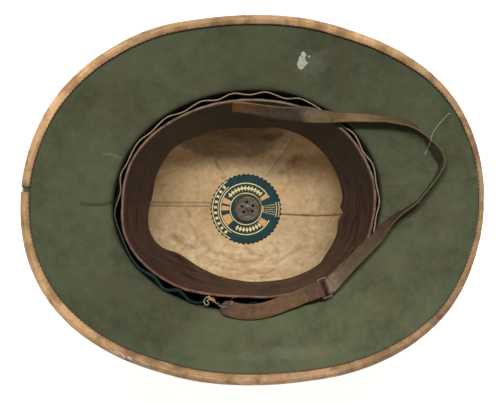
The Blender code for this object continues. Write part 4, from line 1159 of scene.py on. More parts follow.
class HELMET_OT_shell(Operator):
    """Make the moulded shell with its khaki cover, seen from outside."""
    bl_idname = "helmet.shell"
    bl_label = "Shell"
    bl_options = {"REGISTER", "UNDO"}

    def execute(self, context):
        hat, c = hat_and_colours(context)
        s = hat.s
        rows, normals = hat.inner_face()
        outer = [rows[k] - normals[k] * s.crown_wall for k in range(FIRST_BREAK)]
        mitre = s.crown_wall / cos(BREAK_TURN * 0.5)
        outer.append(rows[FIRST_BREAK + 1] - normals[FIRST_BREAK + 1] * mitre)
        for k, (_, taper) in enumerate(BRIM_LINES):
            thick = s.crown_wall + (s.brim_wall - s.crown_wall) * taper
            outer.append(rows[FIRST_BREAK + 3 + k] - normals[FIRST_BREAK + 3 + k] * thick)
        outer = refined(np.array(outer), 3.0 * MM)
        # Six gores meet in seams over the crown
        share = ramp((hat.break_z - outer[..., 2]) / s.crown_depth)
        seam = np.exp(-((WHOLE % 60 - 30) / 1.1) ** 2) * np.minimum(1.0, 4.0 * share)
        outer += facing(outer) * (-0.35 * MM * seam + 0.12 * MM * lumps(outer, 14.0))[..., None]
        outer[:6, :, 2] = np.maximum(outer[:6, :, 2], s.cap_height + s.gap)
        cover = model("shell_cover", [wall(refined(rows, 5.0 * MM), outer)], khaki_drill(c))
        fitted(cover, "khaki_cloth", "shell")
        return {"FINISHED"}


class HELMET_OT_linings(Operator):
    """Make the olive cloth of the brim and the cream cloth of the crown."""
    bl_idname = "helmet.linings"
    bl_label = "Linings"
    bl_options = {"REGISTER", "UNDO"}

    def execute(self, context):
        hat, c = hat_and_colours(context)
        rows, normals = hat.inner_face()
        near, far = rows + normals * hat.s.gap, rows + normals * hat.face
        self.brim(hat, c, near[TUCK_ROW:], far[TUCK_ROW:])
        self.crown(hat, c, near[:TUCK_ROW + 1], far[:TUCK_ROW + 1])
        return {"FINISHED"}

    def brim(self, hat, c, near, far):
        """The olive cloth from inside the head opening out to the brim's edge."""
        top = refined(far, 0.9 * MM)
        dent = drawn(top, BRIM_FOLDS, "depth") * MM
        swell = 0.16 * MM * lumps(top, 24.0) + 0.07 * MM * lumps(top, 8.0, 5.0)
        inside = ramp(np.arange(len(top))[::-1, None] / 10.0)
        top = top + facing(top) * ((swell - dent * 0.5) * inside)[..., None]
        under = refined(near, 8.0 * MM)
        dust = np.maximum(0.5 * drawn(top, BRIM_SCRATCHES, "dark"), stained(top, BRIM_DUST))
        to_edge = np.cumsum(norm(np.diff(top[::-1], axis=0), axis=2), axis=0)[::-1]
        to_edge = np.concatenate([to_edge, np.zeros((1, ROUND))])
        past = (to_edge - hat.s.cover * around(BINDING_REACH, WHOLE)) / MM
        verge = 0.16 * ramp(1.2 - past / 8.0 + 0.7 * lumps(top, 8.0, 2.2))
        # Painted shade: near black where the cloth tucks into the opening, and a thin painted
        # shadow along the binding's edge, stronger towards +Y
        depth = ramp((hat.break_z - 1.0 * MM - top[..., 2]) / (5.0 * MM))
        shade = 0.75 + 0.2 * np.sin(np.radians(WHOLE))
        depth = np.maximum(depth, shade * ramp(1.3 - np.abs(past) / 0.7))
        values = on_face(top, under, crease=drawn(top, BRIM_FOLDS, "dark"), scratch=dust,
                         rust=stained(top, BRIM_RUST), verge=verge, depth=depth,
                         soil=around(BRIM_DARKENING, WHOLE))
        brim = model("brim_cloth", [wall(top, under)], cotton_drill(c), **values)
        fitted(brim, "green_cloth", "brim_lining")
        self.area(top)

    def crown(self, hat, c, near, far):
        """The cream cloth of the crown's hollow, crumpled, creased and stained."""
        top = refined(far, 1.1 * MM)
        dent = drawn(top, CROWN_SEAMS_AND_SHADED_FOLDS, "depth") * MM
        folds = 0.35 * MM * lumps(top * (1.0, 1.6, 1.0), 16.0) + 0.14 * MM * lumps(top, 5.0, 9.0)
        # Sharp little ridges where the sized cloth has crumpled; their tops get a painted
        # highlight, strongest towards -Y
        warp = top + 3.0 * MM * lumps(top, 14.0, 1.7)[..., None]
        highlit_crests = np.zeros(top.shape[:2])
        low = 0.45 + 0.55 * ramp((-8 * MM - top[..., 1]) / (30 * MM))
        for mm, deep, seed in ((12.0, 0.7, 6.1), (6.0, 0.5, 2.4), (3.6, 0.35, 8.8)):
            lie = lumps(warp * (0.5, 1.2, 1.0), mm, seed)
            ridge = low * ramp(1.0 - np.abs(lie) * 4.0)
            folds = folds + deep * MM * ridge
            highlit_crests = highlit_crests + deep * ridge
        clear = np.clip(norm(top[..., :2], axis=2) / hat.b.label - 0.95, 0.0, 0.12) / 0.12
        top = top + facing(top) * ((folds - dent) * clear)[..., None]
        under = refined(near, 8.0 * MM)
        # Painted shade: the lining turns near black up behind the sweatband
        depth = ramp((top[..., 2] - hat.crown_z - LINING_SHADE_FROM * MM) / (LINING_SHADE_OVER * MM))
        # Painted shadow of the sweatband's edge across the lining, fading out towards +X, laid over
        # the painted shade round it
        mark_x, mark_y = np.array(BAND_SHADOW_EDGE, float).T * MM
        over = (top[..., 1] - np.interp(top[..., 0], mark_x, mark_y)) / (3.5 * MM)
        band_shadow = ramp(over + 0.5 + 0.5 * lumps(top, 6.0, 3.3))
        band_shadow *= ramp((34 * MM - top[..., 0]) / (22 * MM))
        soil = 1.0 - (1.0 - around(CROWN_PAINTED_SHADE, WHOLE)) * (1.0 - 0.5 * band_shadow)
        values = on_face(top, under, crease=drawn(top, CROWN_SEAMS_AND_SHADED_FOLDS, "dark"),
                         stain=stained(top, CROWN_STAINS), depth=depth, soil=soil, rub=highlit_crests)
        crown = model("crown_cloth", [wall(top, under)], lining_calico(c), **values)
        fitted(crown, "cream_lining", "crown_lining")
        self.area(top)

    def area(self, rows):
        """The area of one face of a cloth, in square metres."""
        across = np.roll(rows, -1, axis=1)[:-1] - rows[:-1]
        return float(norm(np.cross(across, np.diff(rows, axis=0)), axis=2).sum())


class HELMET_OT_binding(Operator):
    """Make the leather folded over the brim's edge, and its stitches."""
    bl_idname = "helmet.binding"
    bl_label = "Edge binding"
    bl_options = {"REGISTER", "UNDO"}

    def execute(self, context):
        hat, c = hat_and_colours(context)
        s = hat.s
        half = np.degrees(s.joint_gap * 0.5 / s.brim_length)
        d = np.linspace(JOINT_DEG + half, JOINT_DEG + 360.0 - half, 720)
        rows = hat.rows(np.concatenate([d, [JOINT_DEG + 360.0]]))
        edge, before = rows[-1][:-1], rows[-2][:-1]
        inward = unit(before - edge)
        run = unit(np.gradient(edge, axis=0))
        normal = -unit(np.cross(run, edge - before))
        along = measured(edge)
        top, under, thick = hat.face + s.gap, -s.brim_wall - s.gap, s.binding
        mid, rise = (top + under) * 0.5, (top - under) * 0.5 + thick
        # The leather's outer face: cut edge, gentle crown, round fold and the underside
        profile = [(s.cover, top + 0.15 * thick, 0.0), (s.cover - 0.1 * MM, top + 0.8 * thick, 0.1),
                   (s.cover - 0.5 * MM, top + thick, 0.4)]
        profile += [(x * MM, top + thick + lift * MM, 1.0) for x, lift in
                    ((5.7, 0.06), (5.0, 0.14), (4.0, 0.2), (3.0, 0.2), (2.0, 0.12))]
        arc = np.radians(np.linspace(90, 270, 13))
        profile += [(1.1 * MM + 2.6 * MM * cos(a), mid + rise * sin(a), 1.0) for a in arc]
        profile += [(3.4 * MM, under - thick, 1.0), (s.cover - 0.4 * MM, under - thick, 0.3),
                    (s.cover, under - 0.5 * thick, 0.0), (s.cover, under, 0.0),
                    (0.3 * MM, under, 0.0), (-s.gap, mid, 0.0), (0.3 * MM, top, 0.0)]
        across, up, free = np.array(profile).T
        sway = 0.25 * lumps(edge, 22.0) + 0.15 * lumps(edge, 6.0, 4.0)
        reach = around(BINDING_REACH, d)
        shift = (across > 4.5 * MM) * (sway * MM)[:, None]
        spread = np.maximum(across, 0.0) * (reach - 1.0)[:, None]
        grid = (edge[:, None] + inward[:, None] * (across + shift + spread)[..., None]
                + normal[:, None] * up[:, None])
        bumps = (0.16 * lumps(grid, 7.0) + 0.08 * lumps(grid, 2.5, 8.0)) * MM * free
        out = unit(grid - (edge + inward * 1.2 * MM + normal * mid)[:, None])
        grid = grid + out * bumps[..., None]
        place_along, turn = along[:, None], (d % 360)[:, None]
        ends = np.minimum(place_along, along[-1] - place_along)
        rubbed = lumps(grid, 5.0, 2.0) + 0.7 * lumps(grid, 1.8, 6.0)
        outer_edge = np.exp(-((across + 0.6 * MM) / (1.1 * MM)) ** 2)
        low = sum(share * np.exp(-((turn - at) / wide) ** 2) for share, at, wide in
                  BINDING_SCUFFS) + 0.05
        scuff = ramp((rubbed - 0.05) * 3.0) * outer_edge * low
        # Painted shadow along the cut edge over the cloth, and one end darker at the joint
        cut = ramp((across - (s.cover - 1.7 * MM)) / (0.9 * MM))
        grime = ramp(0.85 * cut + 0.8 * np.exp(-ends / (1.5 * MM)) * (turn < JOINT_DEG))
        binding = model("binding_leather", [Run(grid, False)], binding_leather(c), crisp=55,
                        along=place_along, across=0.05 * np.arange(len(profile)), scuff=scuff,
                        grime=grime, fade=around(BINDING_FADE, turn))
        fitted(binding, "binding_leather", "edge_binding")

        self.stitches(s, along, (edge, inward, normal), sway, reach, top + thick)
        return {"FINISHED"}

    def stitches(self, s, along, lines, sway, reach, high):
        """Short arches of thread along the binding's cut edge."""
        stitches = []
        arch = ((-0.5, -0.25), (-0.36, 0.12), (0.0, 0.26), (0.36, 0.12), (0.5, -0.25))
        for k in range(int(along[-1] / s.stitch)):
            line = []
            for run_share, lift in arch:
                where = (k + 0.5) * s.stitch + run_share * s.stitch * 0.72
                edge, inward, normal = (between(where, along, v) for v in lines)
                cover = s.cover * np.interp(where, along, reach)
                cover = cover - 1.0 * MM + np.interp(where, along, sway) * MM
                line.append(edge + inward * cover + normal * (high + lift * MM))
            stitches.append(tube(line, np.array((0.1, 0.2, 0.22, 0.2, 0.1)) * MM, 6))
        thread = linen_thread("brown_thread", linear("46301F"))
        fitted(model("binding_stitches", stitches, thread), "binding_leather")


class HELMET_OT_sweatband(Operator):
    """Make the sweatband with its rolled rim, and the winding strip behind it."""
    bl_idname = "helmet.sweatband"
    bl_label = "Sweatband"
    bl_options = {"REGISTER", "UNDO"}

    def execute(self, context):
        hat, c = hat_and_colours(context)
        b = hat.b
        depths = np.concatenate([[0.045, 0.07], np.linspace(0.1, 0.94, 22), [0.97, 1.0]])
        inner = np.array([hat.over_band(WHOLE, t) for t in np.linspace(0, 1, 5)])
        smooth = np.array([hat.over_band(WHOLE, t) for t in depths])
        normals = facing(smooth[::-1])[::-1]
        soft = 0.5 * lumps(smooth * (1.0, 1.0, 0.5), 20.0) + 0.12 * lumps(smooth, 5.0, 3.0)
        sink = np.exp(-((WHOLE - BAND_SEAM_DEG) / 0.35) ** 2)
        faded = ramp((depths - 0.05) / 0.2)[:, None]
        face = smooth + normals * ((soft * faded - 0.5 * sink) * MM)[..., None]
        back = smooth - normals * b.band + normals * (soft * faded * MM)[..., None]
        lip = face[-1] * 0.5 + back[-1] * 0.5 + unit(inner[-1] - inner[-2]) * 0.45 * MM
        up = unit(inner[0] - inner[1])
        centre = inner[0] - normals[0] * b.band * 0.5 - up * b.bead
        arc = np.radians(np.linspace(-35, 215, 11))
        wobble = 1.0 + 0.25 * lumps(centre, 6.0)[:, None]
        bead = [centre + (normals[0] * cos(a) + up * sin(a)) * b.bead * wobble for a in arc]
        grid = np.concatenate([[lip], face[::-1], bead, back]).transpose(1, 0, 2)
        rows = len(depths)
        rim = np.zeros(grid.shape[1])
        rim[rows + 1:rows + 12] = (0.0, 0.0, 0.0, 0.1, 0.6, 1.0, 0.7, 0.2, 0.1, 0.0, 0.0)
        seam = np.zeros(grid.shape[1])
        seam[rows - 1:rows + 7] = 0.85 * (1.0 - rim[rows - 1:rows + 7])
        side = seam * ramp(0.5 - 0.6 * np.sin(np.radians(WHOLE)))[:, None]
        side = side + 0.6 * sink[:, None] * (1.0 - rim)
        rub = around(RIM_RUBS, WHOLE) + 0.7 * lumps(hat.rim(WHOLE), 7.0, 2.0)
        # Painted shade: darkest towards +Y, near black on the back face seen through the gap and on
        # the bead's outer half, and weaker over the rest of the bead and the worn rim
        soil = around(BAND_PAINTED_SHADE, WHOLE)[:, None] * (1.0 - rim)
        soil[:, rows + 12:] = 0.93
        soil[:, rows:rows + 12] *= 0.4
        soil[:, rows + 8:rows + 12] = 0.9
        band = model("sweatband_leather", [Run(grid, True)], sweatband_leather(c), soil=soil,
                     rub=ramp(rub)[:, None], rim=rim, seam=ramp(side))
        fitted(band, "sweatband_leather", "sweatband")
        self.strip(hat, c, inner[0] - normals[0] * b.band)
        return {"FINISHED"}

    def strip(self, hat, c, band_back):
        """The cloth strip that winds between the band's back and the crown's lining."""
        s, b = hat.s, hat.b
        d = np.linspace(0, 360, 900, endpoint=False)
        back = np.vstack([band_back, band_back[:1]])[:, :2]
        back = between(d, np.append(WHOLE, 360.0), back)
        rows = hat.rows(d)
        lining = rows[FIRST_BREAK] + facing(rows)[TUCK_ROW] * hat.face
        way = lining[:, :2] - back
        room = norm(way, axis=1, keepdims=True)
        margin = b.strip * 0.5 * SPACER_SLANT + s.gap
        reach = ramp(around(SPACER_FOLDS, d))[:, None]
        middle = back + way / room * (margin + (room - 2 * margin) * reach)
        along = np.roll(middle, -1, axis=0) - np.roll(middle, 1, axis=0)
        side = unit(np.stack([along[:, 1], -along[:, 0]], axis=1))
        top = hat.rim_z - b.strip_below
        line = place(middle[:, 0], middle[:, 1], top)
        height = 0.35 * MM * lumps(line, 9.0)
        # The strip is folded double where it shows its teal face
        double = 1.0 + FOLD_SWELL * np.exp(-((d - FOLD_DEG) / FOLD_WIDTH) ** 2)
        half = b.strip * 0.5 * double * (1.0 + 0.15 * lumps(line, 3.0, 5.0))
        flank = [(1, -share * b.strip_width) for share in (1.0, 0.6, 0.22)]
        flank += [(1, -0.5 * MM), (0.7, -0.1 * MM)]
        profile = flank + [(0.0, 0.05 * MM)] + [(-x, z) for x, z in reversed(flank)]
        lean = (way / room) * around(STRIP_LEAN, d)[:, None] / b.strip_width * MM
        spare = np.clip((room - margin) * (1.0 - reach), 0.0, None)
        lean = lean * ramp(spare / (3.0 * MM))
        grid = np.stack([place(*(middle + side * (half * x)[:, None] - lean * z).T,
                               top + z + height * (z > -3 * MM)) for x, z in profile], axis=1)
        edge = np.array([0, 0, 0, 0.85, 1, 1, 1, 0.85, 0, 0, 0])
        edge = edge * ramp(around(STRIP_PALENESS, d))[:, None]
        strip = model("winding_strip", [Run(grid, True)], strip_cloth(c), edge=edge)
        fitted(strip, "spacer_cloth", "spacer_strip")


class HELMET_OT_label(Operator):
    """Make the pinked label with its plain print, and the pierced vent disc."""
    bl_idname = "helmet.label"
    bl_label = "Label and vent disc"
    bl_options = {"REGISTER", "UNDO"}

    def execute(self, context):
        hat, c = hat_and_colours(context)
        s, b = hat.s, hat.b
        low, high = hat.label_z, hat.label_z + b.label_wall
        a = turns(b.teeth * 8)
        saw = np.abs((a * b.teeth / tau) % 1.0 - 0.5) * 2.0
        tip = b.label - b.tooth * (1.0 - saw)
        tip = tip + 0.25 * MM * np.array([noise.noise((x * 9.0, 0, 0)) for x in a])
        rings = []
        top = [(share, high) for share in (0.0, 0.2, 0.4, 0.6, 0.8, 0.95)]
        hem = [(0.985, high - 0.15 * MM), (1.0, low + 0.3 * MM), (1.0, low)]
        for share, z in [(0.0, low)] + top + hem:
            r = s.bore + (tip - s.bore) * share
            x = b.label_x * share + r * np.cos(a)
            y = b.label_y * share + r * np.sin(a)
            ring = place(x, y, z)
            if 0.0 < share < 1.0:
                ring[:, 2] += 0.12 * MM * lumps(ring, 8.0)
            rings.append(ring)
        grid = np.stack(rings, axis=1)
        edge = (0, 0, 0, 0, 0, 0, 0.3, 0.8, 1, 1)
        label = model("label_cloth", [Run(grid, True)], label_cloth(c), edge=edge)
        fitted(label, "label_paper", "label")
        self.print_label(hat, c)
        self.disc(hat, c)
        return {"FINISHED"}

    def sector(self, hat, inside, outside, start, stop):
        """A raised piece of print between two radii and two angles, in mm and degrees."""
        b, turn = hat.b, abs(stop - start)
        ring = turn >= 359.9
        # One station each 0.8 mm of arc
        steps = max(2, int(turn * outside / 57.3 / 0.8) + 1)
        a = np.radians(np.linspace(start, stop, steps))[:-1 if ring else None]
        top, foot = hat.print_z, hat.print_z - PRINT_WALL * MM
        return Run(np.stack([
            place(b.label_x + r * MM * np.cos(a), b.label_y + r * MM * np.sin(a), z)
            for r, z in ((inside, foot), (inside, top), (outside, top), (outside, foot))],
            axis=1), ring)

    def lozenge(self, hat, degrees, tall, wide):
        """A raised diamond of print on the lozenges' ring, at an angle."""
        a = radians(degrees)
        out, side = np.array((cos(a), sin(a))), np.array((-sin(a), cos(a)))
        centre = np.array((hat.b.label_x, hat.b.label_y)) + out * LOZENGE_RADIUS * MM
        corners = [centre + out * tall * MM, centre + side * wide * MM, centre - out * tall * MM,
                   centre - side * wide * MM]
        return Run(np.array([[(x, y, z) for x, y in corners]
                             for z in (hat.print_z - PRINT_WALL * MM, hat.print_z)]), False)

    def print_label(self, hat, c):
        """The plain rings, beads, bars and lozenges of the label's two bands."""
        gold = [self.sector(hat, *row) for row in PRINT_LINES]
        gold += [self.lozenge(hat, start + LOZENGE_STEP * k, tall, wide)
                 for count, start, tall, wide in LOZENGES for k in range(count)]
        gold += [self.sector(hat, inside, outside, start + step * k, start + step * k + wide)
                 for count, inside, outside, start, step, wide in PRINT_BARS for k in range(count)]
        fitted(model("label_gold", gold, gold_print("gold_leaf_print", c.gold)), "label_paper")
        blocks = [self.sector(hat, *row) for row in PRINT_BLOCKS]
        worn = model("label_blocks", blocks, gold_print("worn_gold_blocks", c.orange))
        fitted(worn, "label_paper")

    def disc(self, hat, c):
        """The pierced metal disc over the ventilator's bore."""
        s, b = hat.s, hat.b
        low = hat.crown_z + hat.face + b.label_wall + 2.0 * s.gap
        high = low + b.disc_wall
        # A rolled edge, a ring pressed in near it and a slight dome over the middle
        edge = b.disc / MM
        profile = ((0.4, 0.0), (edge - 0.3, 0.0), (edge, 0.3), (edge, 0.9), (edge - 0.3, 1.6),
                   (edge - 0.9, 1.8), (edge - 1.5, 1.5), (edge - 1.9, 1.2), (8.8, 1.15),
                   (8.4, 1.3), (8.0, 1.15), (7.0, 1.2), (3.0, 1.2), (2.2, 1.35), (1.0, 1.5),
                   (0.4, 1.55))
        round_it = turned((r * MM, low + z * MM) for r, z in profile)
        disc = model("vent_disc_metal", [round_it], tarnished_pewter(c), crisp=50)
        for degrees in HOLE_ANGLES:
            t = radians(degrees)
            made = bmesh.new()
            where = (b.hole_circle * cos(t), b.hole_circle * sin(t), high)
            bmesh.ops.create_cone(made, cap_ends=True, segments=20, radius1=b.hole, radius2=b.hole,
                                  depth=6.0 * MM, matrix=Matrix.Translation(where))
            mesh = bpy.data.meshes.new("drill")
            made.to_mesh(mesh)
            made.free()
            cut = disc.modifiers.new("hole", "BOOLEAN")
            cut.object = placed("drill", mesh)
            cut.operation = "DIFFERENCE"
            bpy.context.view_layer.objects.active = disc
            bpy.ops.object.modifier_apply(modifier=cut.name)
            # Its object goes with it
            bpy.data.meshes.remove(mesh)
        fitted(disc, "pewter", "vent_disc")


class HELMET_OT_vent_cap(Operator):
    """Make the cloth-covered cap that the helmet lies on."""
    bl_idname = "helmet.vent_cap"
    bl_label = "Ventilator cap"
    bl_options = {"REGISTER", "UNDO"}

    def execute(self, context):
        hat, c = hat_and_colours(context)
        s = hat.s
        spigot = s.bore - s.gap
        profile = [(0.2 * MM, 0.0), (0.9 * s.cap_foot, 0.0), (s.cap_foot, 0.0),
                   (s.cap_foot + 1.6 * MM, 0.6 * MM), (s.cap_radius - 0.7 * MM, 2.4 * MM),
                   (s.cap_radius, 4.2 * MM), (s.cap_radius, 6.4 * MM),
                   (s.cap_radius - 0.4 * MM, 7.4 * MM), (s.cap_radius - 1.4 * MM, s.cap_height),
                   (spigot + 0.5 * MM, s.cap_height), (spigot, s.cap_height + 0.5 * MM),
                   (spigot, s.cap_height + s.spigot), (0.2 * MM, s.cap_height + s.spigot)]
        cap = model("cap_cloth", [turned(profile)], khaki_drill(c), crisp=50)
        fitted(cap, "khaki_cloth", "vent_cap")
        return {"FINISHED"}


class Station(NamedTuple):
    """A place along a strap and the way its face looks."""
    point: Vector
    normal: Vector


class Straps:
    """Routes of the two straps, the chape and the hook, from the buckle's place."""

    def __init__(self, hat):
        self.hat, self.t = hat, hat.t
        t = self.t
        self.middle = Vector(hat.over_brim(BUCKLE_DEG, BUCKLE_OUT))
        self.middle.z = hat.rim_z + t.above
        self.level = Vector((cos(BUCKLE_HEADING), sin(BUCKLE_HEADING), 0.0))
        self.run = self.level * cos(BUCKLE_TILT) - UP * sin(BUCKLE_TILT)
        self.up = UP * cos(BUCKLE_TILT) + self.level * sin(BUCKLE_TILT)
        self.across = self.up.cross(self.run)
        reach = (t.buckle - t.wire) * 0.5
        self.short_bar = self.middle - self.run * reach
        self.long_bar = self.middle + self.run * reach
        self.away = -self.level * cos(CHAPE_DROP) - UP * sin(CHAPE_DROP)
        self.over = self.across.cross(self.away)

    def over_rows(self, rows):
        """Places of a strap that lies over the rim and the brim."""
        hat, points = self.hat, []
        for degrees, out, lift, _ in rows:
            plan = Vector(hat.over_brim(degrees, out))
            face = float(hat.over_brim(degrees, max(out, 0.0))[2])
            plan.z = max(face, hat.rim_z) + lift * self.t.width
            points.append(plan)
        stations = []
        for k, row in enumerate(rows):
            run = (points[min(k + 1, len(rows) - 1)] - points[max(k - 1, 0)]).normalized()
            left = UP.cross(run).normalized()
            up, roll = run.cross(left), radians(row[-1])
            stations.append(Station(points[k], up * cos(roll) - left * sin(roll)))
        return stations

    def band_rows(self, rows):
        """Places where the strap leans over the rolled rim, its foot inside the band."""
        hat, stations = self.hat, []
        for degrees, stand_off, tilt, slip in rows:
            rim = Vector(hat.rim(degrees))
            side = Vector(hat.rim(degrees + 1.0) - hat.rim(degrees - 1.0)).normalized()
            inward, e = UP.cross(side), radians(tilt)
            normal = inward * cos(e) + UP * sin(e)
            slope = UP * cos(e) - inward * sin(e)
            rim.z -= hat.b.bead
            lift = hat.b.bead + hat.s.gap + self.t.wall * (0.5 + stand_off)
            slip = self.t.buried * 0.3 + self.t.width * slip
            stations.append(Station(rim + normal * lift - slope * slip, normal))
        return stations

    def long_strap(self):
        """From inside the rim over the brim, through the buckle and under the short strap."""
        t, gap = self.t, self.hat.s.gap
        bar_clear = t.wire * 0.5 + gap + t.wall * 0.5
        chape_clear = t.wire * 0.5 + 2.0 * gap + t.chape + t.wall * 0.5
        slope = asin((bar_clear + chape_clear) / (t.buckle - t.wire)) - BUCKLE_TILT
        lifted = UP * cos(slope) - self.level * sin(slope)
        top = self.long_bar + UP * bar_clear
        tail = self.short_bar - self.over * chape_clear
        askew = Matrix.Rotation(STRAP_SKEW, 3, "Z") @ self.level
        return self.band_rows(LONG_STRAP_START) + self.over_rows(LONG_STRAP_ROUTE) + [
            Station(top + UP * gap + askew * t.approach, -UP),
            Station(top, -(UP + lifted).normalized()),
            Station(self.long_bar + lifted * bar_clear, -lifted),
            Station(self.short_bar - lifted * chape_clear, -lifted),
            Station(tail, -self.over), Station(tail + self.away * t.tail, -self.over)]

    def short_strap(self):
        """From the hook along the rim to the buckle's near bar."""
        t = self.t
        start = self.short_bar + self.away * (t.wire * 0.5 + self.hat.s.gap)
        lead = self.away * (t.chape_length + t.chape_lead)
        return self.over_rows(SHORT_STRAP_ROUTE) + [Station(start + lead, self.over),
                                                    Station(start, self.over)]

    def chape(self):
        """One ply over the short strap, round the near bar and back under it."""
        t, over, away, bar = self.t, self.over, self.away, self.short_bar
        radius = t.wire * 0.5 + self.hat.s.gap + t.chape * 0.5
        rows = [Station(bar + over * radius + away * t.chape_length * share, over)
                for share in (1.0, 0.5)]
        for degrees in range(90, -91, -15):
            a = radians(degrees)
            out = over * sin(a) - away * cos(a)
            rows.append(Station(bar + out * radius, out))
        return rows + [Station(bar - over * radius + away * t.chape_length * share, -over)
                       for share in (0.5, 1.0)]


def strap_run(rows, width, thick, step, round_start=False, round_end=False, seed=0.0):
    """A strap's points along a smooth curve, with its run, crossing and edges for its finish."""
    points = np.array([r.point for r in rows])
    normals = np.array([r.normal for r in rows])
    knots = measured(points)
    count = max(4, int(knots[-1] / step))
    place_at = np.linspace(0.0, knots[-1], count)
    order = np.arange(len(rows))
    index = np.interp(place_at, knots, order)
    line, normal = curve(order, points, index), between(index, order, normals)
    run = unit(np.gradient(line, axis=0))
    across = unit(np.cross(unit(normal), run))
    normal = np.cross(run, across)
    reach = np.ones(count)
    radius = width * 0.5
    for rounded, from_end in ((round_start, place_at), (round_end, knots[-1] - place_at)):
        if rounded:
            share = np.clip(from_end / radius, 0.02, 1.0)
            reach *= np.sqrt(1.0 - (1.0 - share) ** 2)
    # Profile: share across, share of the thickness, and how much of it is edge
    side = [(x, 1.0, 0.0) for x in np.linspace(-0.9, 0.9, 9)]
    side += [(0.965, 0.85, 0.5), (1.0, 0.3, 1.0), (1.0, -0.3, 1.0), (0.965, -0.85, 0.5)]
    u, v, edge = np.array(side + [(-x, -y, bare) for x, y, bare in side]).T
    sway = 1.0 + 0.025 * lumps(line, 9.0, seed + 2.0)
    half = (width * 0.5 * reach * sway)[:, None] * u
    cup = 0.10 * thick * (u ** 2 - 0.4) * (1.0 + lumps(line, 30.0, seed))[:, None]
    body = thick * 0.5 * v * (1.0 - 0.12 * np.abs(u) ** 4)
    grid = (line[:, None] + across[:, None] * half[..., None]
            + normal[:, None] * (body + cup)[..., None])
    relief = 0.07 * lumps(grid, 3.0, seed + 5.0) + 0.05 * lumps(grid, 1.3, seed)
    grid = grid + normal[:, None] * (relief * MM * v)[..., None]
    return Run(grid, False), {
        "along": place_at[:, None], "across": u * width * 0.5 + (v < 0) * 0.05, "edge": edge * 0.7}


class HELMET_OT_straps(Operator):
    """Make the two halves of the chin strap, the chape and the hook."""
    bl_idname = "helmet.straps"
    bl_label = "Chin strap"
    bl_options = {"REGISTER", "UNDO"}

    def execute(self, context):
        hat, c = hat_and_colours(context)
        t, routes = hat.t, Straps(hat)
        leather = strap_leather()
        run, values = strap_run(routes.long_strap(), t.width, t.wall, 1.0 * MM, seed=1.0)
        length = values["along"].max()
        left = (length - values["along"]) / MM
        # Near its end the strap gets painted shade and a painted highlight; along the rest, wear
        # and painted shade
        tint = np.where(left[..., None] > STRAP_END_SHADE_AND_HIGHLIGHT[-1][0],
                        tones(LONG_STRAP_WEAR_AND_SHADE, values["along"] / length),
                        tones(STRAP_END_SHADE_AND_HIGHLIGHT, left))
        strap = model("strap_long", [run], leather, tint=tint, **values)
        fitted(strap, "strap_leather", "chin_strap_long")
        run, values = strap_run(routes.short_strap(), t.width, t.wall, 0.8 * MM,
                                round_start=True, seed=4.0)
        share = values["along"] / values["along"].max()
        strap = model("strap_short", [run], leather, tint=tones(SHORT_STRAP_TONES, share),
                      **values)
        fitted(strap, "strap_leather", "chin_strap_short")
        run, values = strap_run(routes.chape(), t.width, t.chape, 0.5 * MM, seed=7.0)
        chape = model("chape_fold", [run], strap_leather("chape_leather", c.chape), **values)
        fitted(chape, "chape_leather", "buckle_chape")
        run, values = strap_run(routes.over_rows(HOOK_ROUTE), t.hook, t.hook_wall, 0.4 * MM,
                                round_end=True, seed=9.0)
        hook = model("hook_tab", [run], strap_leather("hook_leather", c.hook), **values)
        fitted(hook, "hook_leather", "strap_hook")
        return {"FINISHED"}


class HELMET_OT_buckle(Operator):
    """Make the buckle's wire frame."""
    bl_idname = "helmet.buckle"
    bl_label = "Buckle"
    bl_options = {"REGISTER", "UNDO"}

    def execute(self, context):
        hat, c = hat_and_colours(context)
        t, routes = hat.t, Straps(hat)
        half_run = (t.buckle - t.wire) * 0.5
        half_across = t.width * 0.5 + 2.0 * hat.s.gap + t.wire * 0.5
        corner = 1.5 * MM
        line = []
        for sx, sy in ((1, 1), (-1, 1), (-1, -1), (1, -1)):
            turn = atan2(sy, sx)
            centre = (sx * (half_run - corner), sy * (half_across - corner))
            for k in range(7):
                a = turn + (k / 6 - 0.5) * pi * 0.5
                line.append((centre[0] + corner * cos(a), centre[1] + corner * sin(a)))
        line.append(line[0])
        steps = measured(line)
        at = np.linspace(0.0, steps[-1], 120, endpoint=False)
        flat = between(at, steps, line)
        points = np.array([routes.middle + routes.run * x + routes.across * y for x, y in flat])
        up = np.array(routes.up)
        points += up * (0.12 * MM * lumps(points, 5.0))[:, None]
        radius = t.wire * 0.5 * (1.0 + 0.06 * lumps(points, 1.6))
        wire = tube(points, radius, 14, True, up)
        fitted(model("buckle_wire", [wire], rusted_wire(c)), "buckle_metal", "buckle_frame")
        return {"FINISHED"}


